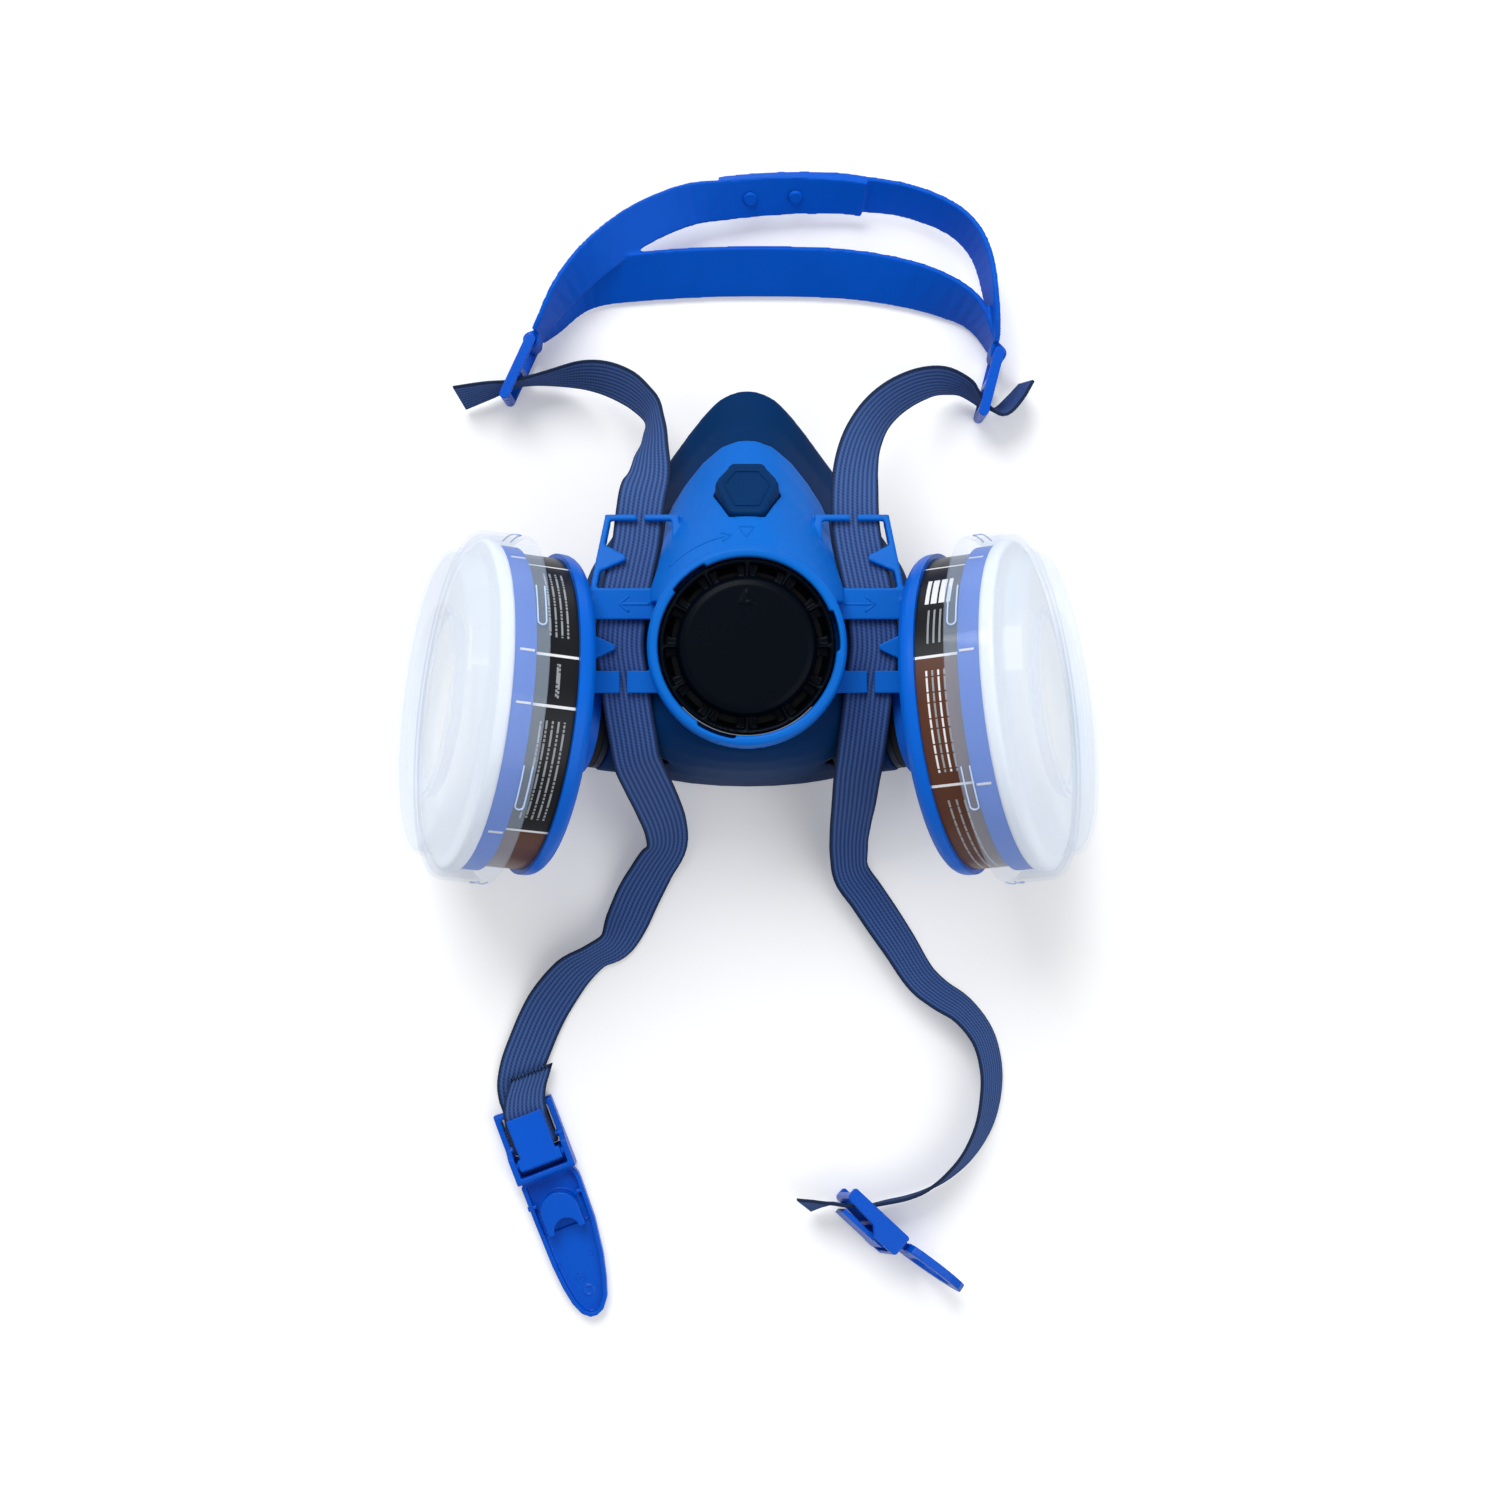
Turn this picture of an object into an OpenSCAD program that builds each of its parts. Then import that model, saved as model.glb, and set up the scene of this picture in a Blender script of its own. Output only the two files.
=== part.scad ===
// Half-mask respirator with two round cartridges, lying face up with its
// harness spread out. +Z is up, +Y points to the nose, X = 0 is the mask's
// plane of symmetry and Z = 0 is the surface that it lies on.

/* [Facepiece] */
// Width of the sealing rim
face_w = 115; // [100:1:132]
// Height of the sealing rim, chin to nose
face_h = 129; // [118:1:142]
// Height of the front opening above the surface
face_depth = 66; // [64:1:70]
// Thickness of the moulded wall
wall = 2.4; // [1.8:0.1:3.2]
// How far the nose end of the rim stands off the surface
nose_lift = 24; // [14:1:30]
// Width of the lip that turns in to the face
lip_w = 14; // [9:0.5:18]

/* [Exhalation valve] */
// Bore of the frame's ring
ring_bore = 54; // [46:0.5:58]
// Wall of the frame's ring
ring_wall = 3.2; // [2.8:0.1:4.5]
// Height of the ring above the facepiece
ring_rise = 20; // [17:0.5:25]
// Width of the raised disc on the cover
cover_disc_d = 42; // [34:0.5:44]
// Quarter-turn travel of the cover, in degrees
cover_turn = 40; // [20:1:50]

/* [Inhalation ports] */
// Upward tilt of the cartridge axis, in degrees
tilt = 19; // [14:1:22]
// Splay of the cartridge axis towards the nose, in degrees
splay = 7; // [2:1:10]
// Bore of the port
port_bore = 20; // [16:0.5:22]
// Wall of the port tube
port_wall = 2.2; // [1.6:0.1:2.6]
// Bayonet travel of the cartridge, in degrees
port_turn = 60; // [50:1:60]

/* [Cartridge] */
// Width over the base flange
cart_d = 102; // [85:1:110]
// Height of the label band
label_h = 13.6; // [10:0.1:18]
// Height of the bare band above the label
band_h = 7.3; // [6:0.1:10]
// Thickness of the white filter pad
pad_t = 4.6; // [3:0.1:6]
// Wall of the clear retainer
cap_wall = 1.2; // [0.9:0.1:1.6]
// Width of the retainer's intake opening
intake_d = 56; // [40:1:66]

/* [Harness] */
// Width of the elastic webbing
web_w = 15; // [12:0.5:15.5]
// Thickness of the elastic webbing
web_t = 1.2; // [0.9:0.1:1.3]
// Width of the band behind the head
band_w = 18; // [14:0.5:20]
// Width of the crown straps
crown_w = 14; // [11:0.5:16]
// Thickness of the moulded bands
strap_t = 1.8; // [1.4:0.1:2.4]

/* [Hidden] */
$fn = 64;

gap = 0.3;                      // between pieces that fit together
chin_y = -12.3;
valve_c = [0, 31.3];            // centre of the exhalation valve
hole_r = ring_bore / 2;         // front opening of the facepiece
ring_r = hole_r + ring_wall;
ring_base = face_depth + gap;
ring_top = ring_base + ring_rise;
nose_y = chin_y + face_h;

// ---- curves -------------------------------------------------------------

function unit(v) = v / norm(v);
function xyz(p) = [p[0], p[1], p[2]];
function mix(a, b, k) = a + (b - a) * k;
function ease(k) = let (c = min(1, max(0, k))) c * c * (3 - 2 * c);
function reversed(p) = [for (i = [len(p) - 1:-1:0]) p[i]];

// Smooth curve through points: Catmull-Rom between b and c
function between(a, b, c, d, t) =
    0.5 * (2 * b + (c - a) * t + (2 * a - 5 * b + 4 * c - d) * t * t
    + (3 * b - a - 3 * c + d) * t * t * t);
function loop_curve(p, n) = let (m = len(p))
    [for (i = [0:m - 1], k = [0:n - 1])
        between(p[(i + m - 1) % m], p[i], p[(i + 1) % m], p[(i + 2) % m], k / n)];
function open_curve(p, n) = let (m = len(p)) concat(
    [for (i = [0:m - 2], k = [0:n - 1])
        between(p[max(i - 1, 0)], p[i], p[i + 1], p[min(i + 2, m - 1)], k / n)],
    [p[m - 1]]);

// Closed solid from rings of equal length; the last ring joins the first when
// round is true, and otherwise both ends are capped. turned swaps the diagonals.
module skin(rings, round = false, turned = false) {
    n = len(rings[0]);
    m = len(rings);
    sides = [for (j = [0:(round ? m - 1 : m - 2)], i = [0:n - 1])
        let (a = j * n + i, b = j * n + (i + 1) % n,
             c = ((j + 1) % m) * n + (i + 1) % n, d = ((j + 1) % m) * n + i)
        each (turned ? [[a, b, d], [b, c, d]] : [[a, b, c], [a, c, d]])];
    caps = round ? [] : [[for (i = [n - 1:-1:0]) i], [for (i = [0:n - 1]) (m - 1) * n + i]];
    polyhedron([for (r = rings) each r], concat(sides, caps), convexity = 6);
}

// Flat strip along a route of [x, y, z, roll]; roll 0 lies flat and 90 stands on edge
function strip_ring(p, i, w, t) = let (
    along = unit(xyz(p[min(i + 1, len(p) - 1)]) - xyz(p[max(i - 1, 0)])),
    side = unit(cross([0, 0, 1], along)),
    across = cos(p[i][3]) * side + sin(p[i][3]) * cross(along, side),
    out = cross(along, across), c = xyz(p[i]))
    [c + across * w / 2 + out * t / 2, c + across * w / 2 - out * t / 2,
     c - across * w / 2 - out * t / 2, c - across * w / 2 + out * t / 2];
module strip(route, w, t, n = 3) {
    p = open_curve(route, n);
    skin([for (i = [0:len(p) - 1]) strip_ring(p, i, w, t)]);
}

module both_sides() {
    children();
    mirror([1, 0, 0]) children();
}

// ---- facepiece ----------------------------------------------------------

// Right half of the rim from chin to nose: share of the half width, share of the
// height, and how far the frame's shield reaches from the valve's centre there
rim_half = [[0, 0, 1.15], [0.47, 0.018, 1.15], [0.79, 0.072, 1.15], [0.94, 0.146, 1.15],
    [1, 0.281, 1.15], [0.99, 0.436, 1.16], [0.905, 0.564, 1.3], [0.69, 0.692, 1.46],
    [0.47, 0.812, 1.85], [0.27, 0.925, 2.12], [0.14, 0.981, 2.25], [0, 1, 2.3]];
rim_keys = concat(rim_half,
    [for (i = [10:-1:1]) [-rim_half[i][0], rim_half[i][1], rim_half[i][2]]]);
rim = [for (p = loop_curve(rim_keys, 3)) [p[0] * face_w / 2, chin_y + p[1] * face_h, p[2] * ring_r]];
function heading(p) = unit([p[0], p[1]] - valve_c);
function reach(p) = norm([p[0], p[1]] - valve_c);
function nose_share(p) = ease((p[1] - 45) / (nose_y - 45));
function chin_share(p) = ease((22 - p[1]) / 26);
function at(p, rz) = let (h = heading(p)) [valve_c[0] + h[0] * rz[0], valve_c[1] + h[1] * rz[0], rz[1]];

// Outer wall from the front opening to the rim: share of the way out, share of
// the depth, and the extra height on the nose side and on the chin side
wall_keys = [[0, 1, 0, 0], [0.1, 0.985, 0, 0.6], [0.3, 0.86, 8, 7], [0.5, 0.7, 10, 13],
    [0.66, 0.55, 12, 16], [0.84, 0.31, 17, 14], [0.96, 0.16, 22, 6], [1, 0.1, nose_lift, 0]];
function outer_wall(p) = [for (k = wall_keys)
    [mix(hole_r, reach(p), k[0]), face_depth * k[1] + k[2] * nose_share(p) + k[3] * chin_share(p)]];
function wall_normal(w, j) = let (d = unit(w[min(j + 1, len(w) - 1)] - w[max(j - 1, 0)])) [-d[1], d[0]];
function inner_wall(p) = let (w = outer_wall(p))
    [for (j = [0:len(w) - 1]) j == 0 ? w[0] - [0, wall] : w[j] - wall * wall_normal(w, j)];
// Rim, flat foot and the lip that turns in
function lip(p) = let (r = reach(p), z = nose_lift * nose_share(p))
    [[r - 0.7, z + 2.4], [r - 2.6, z], [r - 7.5, z], [r - lip_w, z + 2.2], [r - lip_w, z + 3.4],
     [r - 7, z + 2]];
function face_profile(p) = concat(outer_wall(p), lip(p), reversed(inner_wall(p)));
face_steps = len(face_profile(rim[0]));
function face_height(p, r) = let (w = outer_wall(p))
    lookup(r, [for (q = w) [q[0], q[1]]]);

// Hexagonal boss that locks the frame at the nose
boss_y = 73.9;
boss_z = 62.8;
boss_slope = -38;
boss_root = -6;
boss_h = 11;
boss_half_w = 10.2;
boss_half_h = 10.6;
module boss_place() translate([0, boss_y, boss_z]) rotate([boss_slope, 0, 0]) children();
module boss_outline(grow = 0) offset(r = 1.2 + grow) offset(delta = -1.2)
    polygon([[-boss_half_w / 2, boss_half_h], [boss_half_w / 2, boss_half_h],
        [boss_half_w, boss_half_h * 0.2], [boss_half_w / 2, -boss_half_h],
        [-boss_half_w / 2, -boss_half_h], [-boss_half_w, boss_half_h * 0.2]]);

module facepiece() color("#0b2c4d") {
    difference() {
        union() {
            skin([for (j = [0:face_steps - 1]) [for (p = rim) at(p, face_profile(p)[j])]], round = true);
            both_sides() at_port() translate([0, 0, boss_in])
                cylinder(r = port_boss_r, h = boss_out - boss_in);
        }
        both_sides() at_port() {
            translate([0, 0, boss_in - 1]) cylinder(r = port_r + gap, h = boss_out - boss_in + 30);
            translate([0, 0, boss_in - 5]) cylinder(r = port_r + 2.9, h = 5);
            translate([0, 0, boss_out]) cylinder(r = port_r + 3.4, h = 20);
        }
    }
    boss_place() translate([0, 0, boss_root]) linear_extrude(boss_h - boss_root) boss_outline();
}

// ---- front frame --------------------------------------------------------

guide_z = 66.5;                 // middle of the webbing in the guides
guide_under = guide_z + web_t / 2 + gap;
bar_t = 1.9;
rail_x = 47.2;
rail_t = 1.5;
shield_t = 3.2;
groove_r = hole_r + ring_wall * 0.35;
groove_z = ring_base + 9;
groove_h = 3;
lug_w = 24;                     // width of a cover lug, in degrees

// The shield follows the facepiece and ends at this outline beside the webbing
shield_half = [[0, 45], [29.5, 45], [29.4, 50.5], [27.8, 56], [26.4, 64], [25.7, 72], [23.5, 77.5],
    [19.5, 84], [14, 90.8], [8, 95.6], [3, 97.4], [0, 97.6]];
function shield_top(p, k) = let (
    r = mix(ring_r - 1, p[2], k),
    far = face_height(p, p[2]) + shield_t + gap)
    [r, mix(ring_top - 0.8, max(far, 30), k) + 3 * sin(180 * k) * nose_share(p)];
function shield_under(p, j) = let (
    r = j == 0 ? hole_r + 1.2 : min(outer_wall(p)[j][0], p[2] - (shield_steps - j) * 0.4))
    [r, face_height(p, r) + gap + 0.9];
shield_steps = 5;
function shield_profile(p) = concat(
    [for (k = [0:shield_steps]) shield_top(p, k / shield_steps)],
    [for (j = [shield_steps:-1:0]) shield_under(p, j)]);
module shield() intersection() {
    skin([for (j = [0:2 * shield_steps + 1]) [for (p = rim) at(p, shield_profile(p)[j])]],
        round = true, turned = true);
    linear_extrude(120) both_sides() polygon(shield_half);
}

// Ring with the groove that the cover's lugs turn in
module ring() difference() {
    rotate_extrude() polygon([
        [hole_r, ring_base], [ring_r + 0.8, ring_base], [ring_r, ring_base + 5], [ring_r, ring_top - 1],
        [ring_r - 1, ring_top], [hole_r + 0.6, ring_top], [hole_r, ring_top - 0.6],
        [hole_r, groove_z + groove_h], [groove_r, groove_z + groove_h], [groove_r, groove_z],
        [hole_r, groove_z]]);
    for (a = [0:120:240]) rotate(a + 90 + cover_turn - lug_w / 2 - 1) translate([0, 0, groove_z + 1])
        rotate_extrude(angle = lug_w + 2) translate([hole_r - 2, 0])
            square([groove_r - hole_r + 2, ring_rise]);
}

// Bars, bridge and hooks that hold the webbing against the frame, on one side.
// Above the bridge the guides slope down towards the nose.
bars_h = 2 + web_t / 2 + gap + bar_t;
bar_z = web_t / 2 + gap;
bend_y = 45;
slope = 15.6;
module on_slope() translate([0, bend_y, guide_z + 0.65]) rotate([-slope, 0, 0]) children();
module guide() {
    translate([20, 40.3, guide_under]) cube([rail_x - 20 + rail_t, 9.6, 2]);
    translate([20, 17.6, guide_under]) cube([17.1, 6.8, bar_t]);
    translate([39.2, 17.6, guide_under]) cube([rail_x - 39.2 + rail_t, 6.8, bar_t]);
    // rail outside the webbing, with the two pointed hooks
    translate([rail_x, 17.6, guide_z - 2]) cube([rail_t, 30, bars_h]);
    translate([0, 0, guide_under]) linear_extrude(bar_t)
        polygon([[rail_x + 0.2, 27.8], [rail_x + 0.2, 35.6], [40.6, 32.4], [40.6, 31]]);
    on_slope() {
        hull() {
            translate([rail_x, 0, -2]) cube([rail_t, 3, bars_h]);
            translate([42.6, 27, -2]) cube([rail_t, bar_t - 0.2, bars_h]);
        }
        translate([0, 0, bar_z]) linear_extrude(bar_t)
            polygon([[46.4, 9.6], [44.8, 19], [37.6, 15.2], [37.6, 13.6]]);
        translate([21, 26.8, bar_z]) cube([11, bar_t, bar_t]);
        translate([34.2, 26.8, bar_z]) cube([9.3, bar_t, bar_t]);
        // web that carries the top bar
        translate([21, 20.5, -0.8]) cube([2.4, 8.2, 0.8 + bar_z + bar_t]);
    }
}

module front_frame() color("#0d63cc") {
    difference() {
        union() {
            shield();
            both_sides() guide();
        }
        boss_place() translate([0, 0, -12]) linear_extrude(40) boss_outline(gap);
        translate([valve_c[0], valve_c[1], 0]) cylinder(r = hole_r + 1, h = 120);
    }
    translate([valve_c[0], valve_c[1], 0]) ring();
}

// ---- exhalation valve ---------------------------------------------------

seat_z = ring_base + 1;
seat_t = 3;
flap_t = 0.7;
flap_lift = 1.5;
stem_r = 1.3;
hub_r = 3.4;
module spokes(r, t, n = 4, w = 2) for (a = [0:360 / n:359]) rotate(a) translate([hub_r - 0.6, -w / 2, 0])
    cube([r - hub_r + 1, w, t]);
// Web with a centre hole that a flap's stem passes through
module valve_web(r, t) difference() {
    union() {
        cylinder(r = hub_r, h = t);
        spokes(r, t);
    }
    translate([0, 0, -1]) cylinder(r = stem_r + 0.1, h = t + 2);
}
module valve_flap(r, web) {
    cylinder(r = r, h = flap_t);
    translate([0, 0, -web - flap_lift - 1.6]) cylinder(r = stem_r, h = web + flap_lift + 1.7);
    translate([0, 0, -web - flap_lift - 1.6]) cylinder(r1 = stem_r, r2 = stem_r + 0.8, h = 1.2);
}
module exhalation_seat() color("#10151c") translate([valve_c[0], valve_c[1], seat_z]) {
    difference() {
        cylinder(r = hole_r - gap, h = seat_t);
        translate([0, 0, -1]) cylinder(r = hole_r - 6, h = seat_t + 2);
    }
    valve_web(hole_r - 6, 1.6);
    difference() {
        translate([0, 0, seat_t - 0.1]) cylinder(r = hole_r - 4.8, h = 0.7);
        translate([0, 0, seat_t - 1]) cylinder(r = hole_r - 6, h = 3);
    }
}
module exhalation_flap() color("#c9ced2") translate([valve_c[0], valve_c[1], seat_z + seat_t + 0.8])
    valve_flap(hole_r - 3.6, seat_t + 0.8);

cover_r = hole_r - 0.4;
cover_base = seat_z + seat_t + 4;
cover_top = ring_top + 1.2;
cover_web_z = ring_top - 6;
disc_r = cover_disc_d / 2;
cover_wall = 1.5;
module cover_profile() polygon([
    [0, cover_top], [disc_r - 2.5, cover_top], [disc_r - 0.8, cover_top - 0.7], [disc_r, cover_top - 2.4],
    [disc_r, cover_web_z + 1.2], [cover_r - cover_wall, cover_web_z + 1.2],
    [cover_r - cover_wall, ring_top - 2.4],
    [cover_r - 0.5, ring_top - 1.8], [cover_r, ring_top - 2.4], [cover_r, cover_base],
    [cover_r - cover_wall, cover_base], [cover_r - cover_wall, cover_web_z],
    [disc_r - cover_wall, cover_web_z],
    [disc_r - cover_wall, cover_top - cover_wall - 1], [0, cover_top - cover_wall - 1]]);
module valve_cover() color("#0c1118") translate([valve_c[0], valve_c[1], 0]) {
    difference() {
        rotate_extrude() cover_profile();
        for (a = [15:30:345]) rotate(a) translate([(disc_r + cover_r - cover_wall) / 2, 0, cover_web_z - 1])
            linear_extrude(4) square([cover_r - cover_wall - disc_r - 1, 6], center = true);
    }
    for (a = [0:30:330]) rotate(a + 90) translate([disc_r - 0.2, -0.45, cover_web_z + 0.6])
        cube([cover_r - cover_wall - disc_r + 0.6, 0.9, 3.4]);
    for (a = [0:120:240]) rotate(a + 90 - lug_w / 2) translate([0, 0, groove_z + gap])
        rotate_extrude(angle = lug_w) translate([cover_r - 0.5, 0])
            square([groove_r - cover_r + 0.5 - gap, groove_h - 2 * gap]);
    // pointer on the disc
    translate([0, disc_r - 7, cover_top - 0.1]) rotate(90) linear_extrude(0.5) difference() {
        circle(r = 2.6, $fn = 3);
        circle(r = 1.5, $fn = 3);
    }
}

// ---- inhalation ports ---------------------------------------------------

port_r = port_bore / 2 + port_wall;
port_boss_r = port_r + 3.2;
boss_in = -21;
boss_out = -5;
flange_t = 1.8;
lug_reach = 2.3;
lug_t = 2.1;
lip_t = 1.8;
hub_out_r = port_r + lug_reach + 2.6;
hub_len = 9;
base_drop = 12;                 // from the seat plane to the base flange
base_z = 0.6 + cart_d / 2 * cos(tilt);
base_x = 62.6;
base_y = 10.9;
cart_axis = [cos(tilt) * cos(splay), cos(tilt) * sin(splay), sin(tilt)];
port_c = [base_x, base_y, base_z] - base_drop * cart_axis;
module at_port() translate(port_c) rotate([0, 90 - tilt, splay]) children();

module port() {
    difference() {
        union() {
            translate([0, 0, boss_in - gap - 0.1]) cylinder(r = port_r, h = 6 - boss_in + gap);
            translate([0, 0, boss_in - gap - flange_t]) cylinder(r = port_r + 2.6, h = flange_t);
            translate([0, 0, boss_out + gap]) cylinder(r = port_r + 2.6, h = flange_t);
            for (a = [0:120:240]) rotate(a - 20) translate([0, 0, lip_t + gap]) rotate_extrude(angle = 40)
                translate([port_r - 0.5, 0]) square([lug_reach + 0.5, lug_t]);
        }
        translate([0, 0, boss_in - 4]) cylinder(r = port_bore / 2, h = 40);
    }
    translate([0, 0, boss_in - gap - flange_t]) valve_web(port_bore / 2, 1.6);
}
module port_left() color("#0d1a2b") mirror([1, 0, 0]) at_port() port();
module port_right() color("#0d1a2b") at_port() port();

module inhalation_flap() translate([0, 0, boss_in - gap - flange_t - 0.2]) mirror([0, 0, 1])
    valve_flap(port_bore / 2 + 1.4, 1.8);
module inhalation_flap_left() color("#c9ced2") mirror([1, 0, 0]) at_port() inhalation_flap();
module inhalation_flap_right() color("#c9ced2") at_port() inhalation_flap();

gasket_z = boss_out + gap + flange_t + 0.2;
module gasket() translate([0, 0, gasket_z]) difference() {
    cylinder(r = port_r + 2.6, h = -gasket_z - 0.2);
    translate([0, 0, -1]) cylinder(r = port_r + gap, h = 6);
}
module gasket_left() color("#15181c") mirror([1, 0, 0]) at_port() gasket();
module gasket_right() color("#15181c") at_port() gasket();

// ---- cartridges ---------------------------------------------------------

shell_r = cart_d / 2;
shell_wall = 1.6;
flange_h = 4.6;
label_z = base_drop + flange_h;
band_z = label_z + label_h;
pad_z = band_z + band_h;
label_r = shell_r - 1.6;
label_t = 0.4;
shell_in = label_r - label_t - shell_wall;
chamber_r = port_r + lug_reach + gap;
module shell_profile() polygon(concat(
    [[0, hub_len], [chamber_r, hub_len], [chamber_r, lip_t], [port_r + gap, lip_t], [port_r + gap, 0],
     [hub_out_r, 0], [hub_out_r, hub_len], [shell_r - 5, hub_len + 1.6]],
    [for (a = [-60:15:0]) [shell_r - 4 + 4 * cos(a), base_drop + 4 + 4 * sin(a) - 1.2]],
    [[shell_r, label_z], [label_r - label_t - 0.1, label_z], [label_r - label_t - 0.1, band_z],
     [shell_r, band_z], [shell_r, pad_z - 0.8], [shell_r - 0.8, pad_z],
     [shell_in, pad_z], [shell_in, base_drop + 1.8], [hub_out_r, hub_len + 2.4], [0, hub_len + 2.4]]));
module cartridge_shell(turn) {
    difference() {
        rotate_extrude() shell_profile();
        for (a = [0:120:240]) rotate(a + turn * port_turn - 22) translate([0, 0, -1])
            rotate_extrude(angle = 44) square([chamber_r - 0.15, lip_t + 1.5]);
        for (a = [0:45:315]) rotate(a) translate([7.5, 0, hub_len - 1]) cylinder(r = 2.2, h = 6);
    }
}
module cartridge_shell_left() color("#0f5cc0") mirror([1, 0, 0]) at_port() cartridge_shell(1);
module cartridge_shell_right() color("#0f5cc0") at_port() cartridge_shell(-1);

module label() translate([0, 0, label_z + 0.1]) difference() {
    cylinder(r = label_r, h = label_h - 0.2);
    translate([0, 0, -1]) cylinder(r = label_r - label_t, h = label_h + 2);
}
module label_left() color("#14161b") mirror([1, 0, 0]) at_port() label();
module label_right() color("#5a3a2a") at_port() label();

module carbon_bed() translate([0, 0, base_drop + 2.2])
    cylinder(r = shell_in - gap, h = pad_z - base_drop - 3.2);
module carbon_bed_left() color("#22252a") mirror([1, 0, 0]) at_port() carbon_bed();
module carbon_bed_right() color("#22252a") at_port() carbon_bed();

pad_r = shell_r + 1.2;
module filter_pad() translate([0, 0, pad_z + gap]) rotate_extrude()
    polygon(concat([[0, 0]], [for (a = [-90:30:90]) [pad_r - 1.5 + 1.5 * cos(a), 1.5 + 1.5 * sin(a)
        + (a > 0 ? pad_t - 3 : 0)]], [[0, pad_t]]));
module filter_pad_left() color("white") mirror([1, 0, 0]) at_port() filter_pad();
module filter_pad_right() color("white") at_port() filter_pad();

// Clear cap: skirt over the band and label, shoulder, raised dome and intake
skirt_over = 3.1;
cap_r = pad_r + gap + cap_wall + 1.4;
dome_r = cap_r - 7;
dome_h = 7.4;
shoulder_z = pad_z + gap + pad_t + gap;
intake_r = intake_d / 2;
function corner(c, r, from, to) = [for (k = [0:4]) let (a = mix(from, to, k / 4)) c + r * [cos(a), sin(a)]];
module cap_profile() polygon(concat(
    [[cap_r, band_z - skirt_over], [cap_r, shoulder_z - 2]],
    corner([cap_r - 3.2, shoulder_z + cap_wall - 3.2], 3.2, 0, 90),
    [[dome_r + 1, shoulder_z + cap_wall]],
    corner([dome_r - 2.8, shoulder_z + cap_wall + dome_h - 2.8], 2.8, 10, 90),
    [[intake_r + 2.4, shoulder_z + cap_wall + dome_h]],
    [[intake_r, shoulder_z + cap_wall + dome_h - 3.4], [intake_r, shoulder_z + cap_wall + dome_h - 5],
     [intake_r + 1.2, shoulder_z + cap_wall + dome_h - 5], [intake_r + 3.4, shoulder_z + dome_h]],
    corner([dome_r - 2.8, shoulder_z + dome_h - 1.6], 1.6, 90, 10),
    [[dome_r, shoulder_z]],
    corner([cap_r - 3.2, shoulder_z - 2], 2, 90, 0),
    [[cap_r - cap_wall, band_z - skirt_over]]));
module retainer() rotate_extrude() cap_profile();
module retainer_left() color("#dcebff", 0.4) mirror([1, 0, 0]) at_port() retainer();
module retainer_right() color("#dcebff", 0.4) at_port() retainer();

// ---- webbing ------------------------------------------------------------

// Routes of [x, y, z, roll]: from the neck clip, through the guides, to the tail
route_left = [[-75.6, -118.1, 1.3, 0], [-76.3, -116.2, 1.3, 0], [-76.7, -112, 1.4, 0],
    [-75.4, -105.5, 1.5, 0],
    [-72.6, -98, 1.5, 0], [-69.4, -90.5, 1.7, 4], [-65.4, -83.4, 2.6, 14],
    [-58.5, -74.5, 5, 32], [-51, -69, 6.5, 50], [-44.5, -65, 5.9, 40],
    [-40.2, -57, 3.6, 18], [-36.6, -49, 3.6, 14], [-31.6, -40, 6, 26], [-27, -32.4, 10.6, 30],
    [-26.8, -25.4, 20, 22], [-29, -17.6, 35, 12], [-32.4, -9, 50, 5], [-34.4, -3.4, 58.6, 2],
    [-35.6, 4.6, 63.4, 1], [-36.8, 12.6, 66, 0], [-37.9, 21, guide_z, 0], [-39.4, 32, guide_z - 0.2, 0],
    [-38.2, 45, guide_z - 0.3, 0], [-36.2, 56, 63.4, 0], [-34.6, 64.4, 61.1, 0], [-33.8, 72, 59, 0],
    [-32.8, 80, 56.2, 0], [-31.2, 87.4, 51.4, -22], [-30.8, 95, 45.4, -42], [-30.4, 103, 38.4, -60],
    [-31.6, 110.6, 31.6, -64], [-37, 117, 25, -52], [-45, 121.6, 19, -50], [-54, 123.8, 14, -60],
    [-64, 123.6, 11.2, -78], [-72, 122.9, 10.3, -88], [-78.1, 121.8, 10.2, -90], [-86, 120, 9.6, -78],
    [-96, 117.4, 8.6, -66]];
route_tail = [[-74.1, -122, 6.3, 0], [-74.6, -119.3, 6.1, 0], [-74.3, -115, 5.4, 0], [-73.2, -111, 4.3, 0],
    [-72.3, -107.6, 3.4, 0]];
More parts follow.
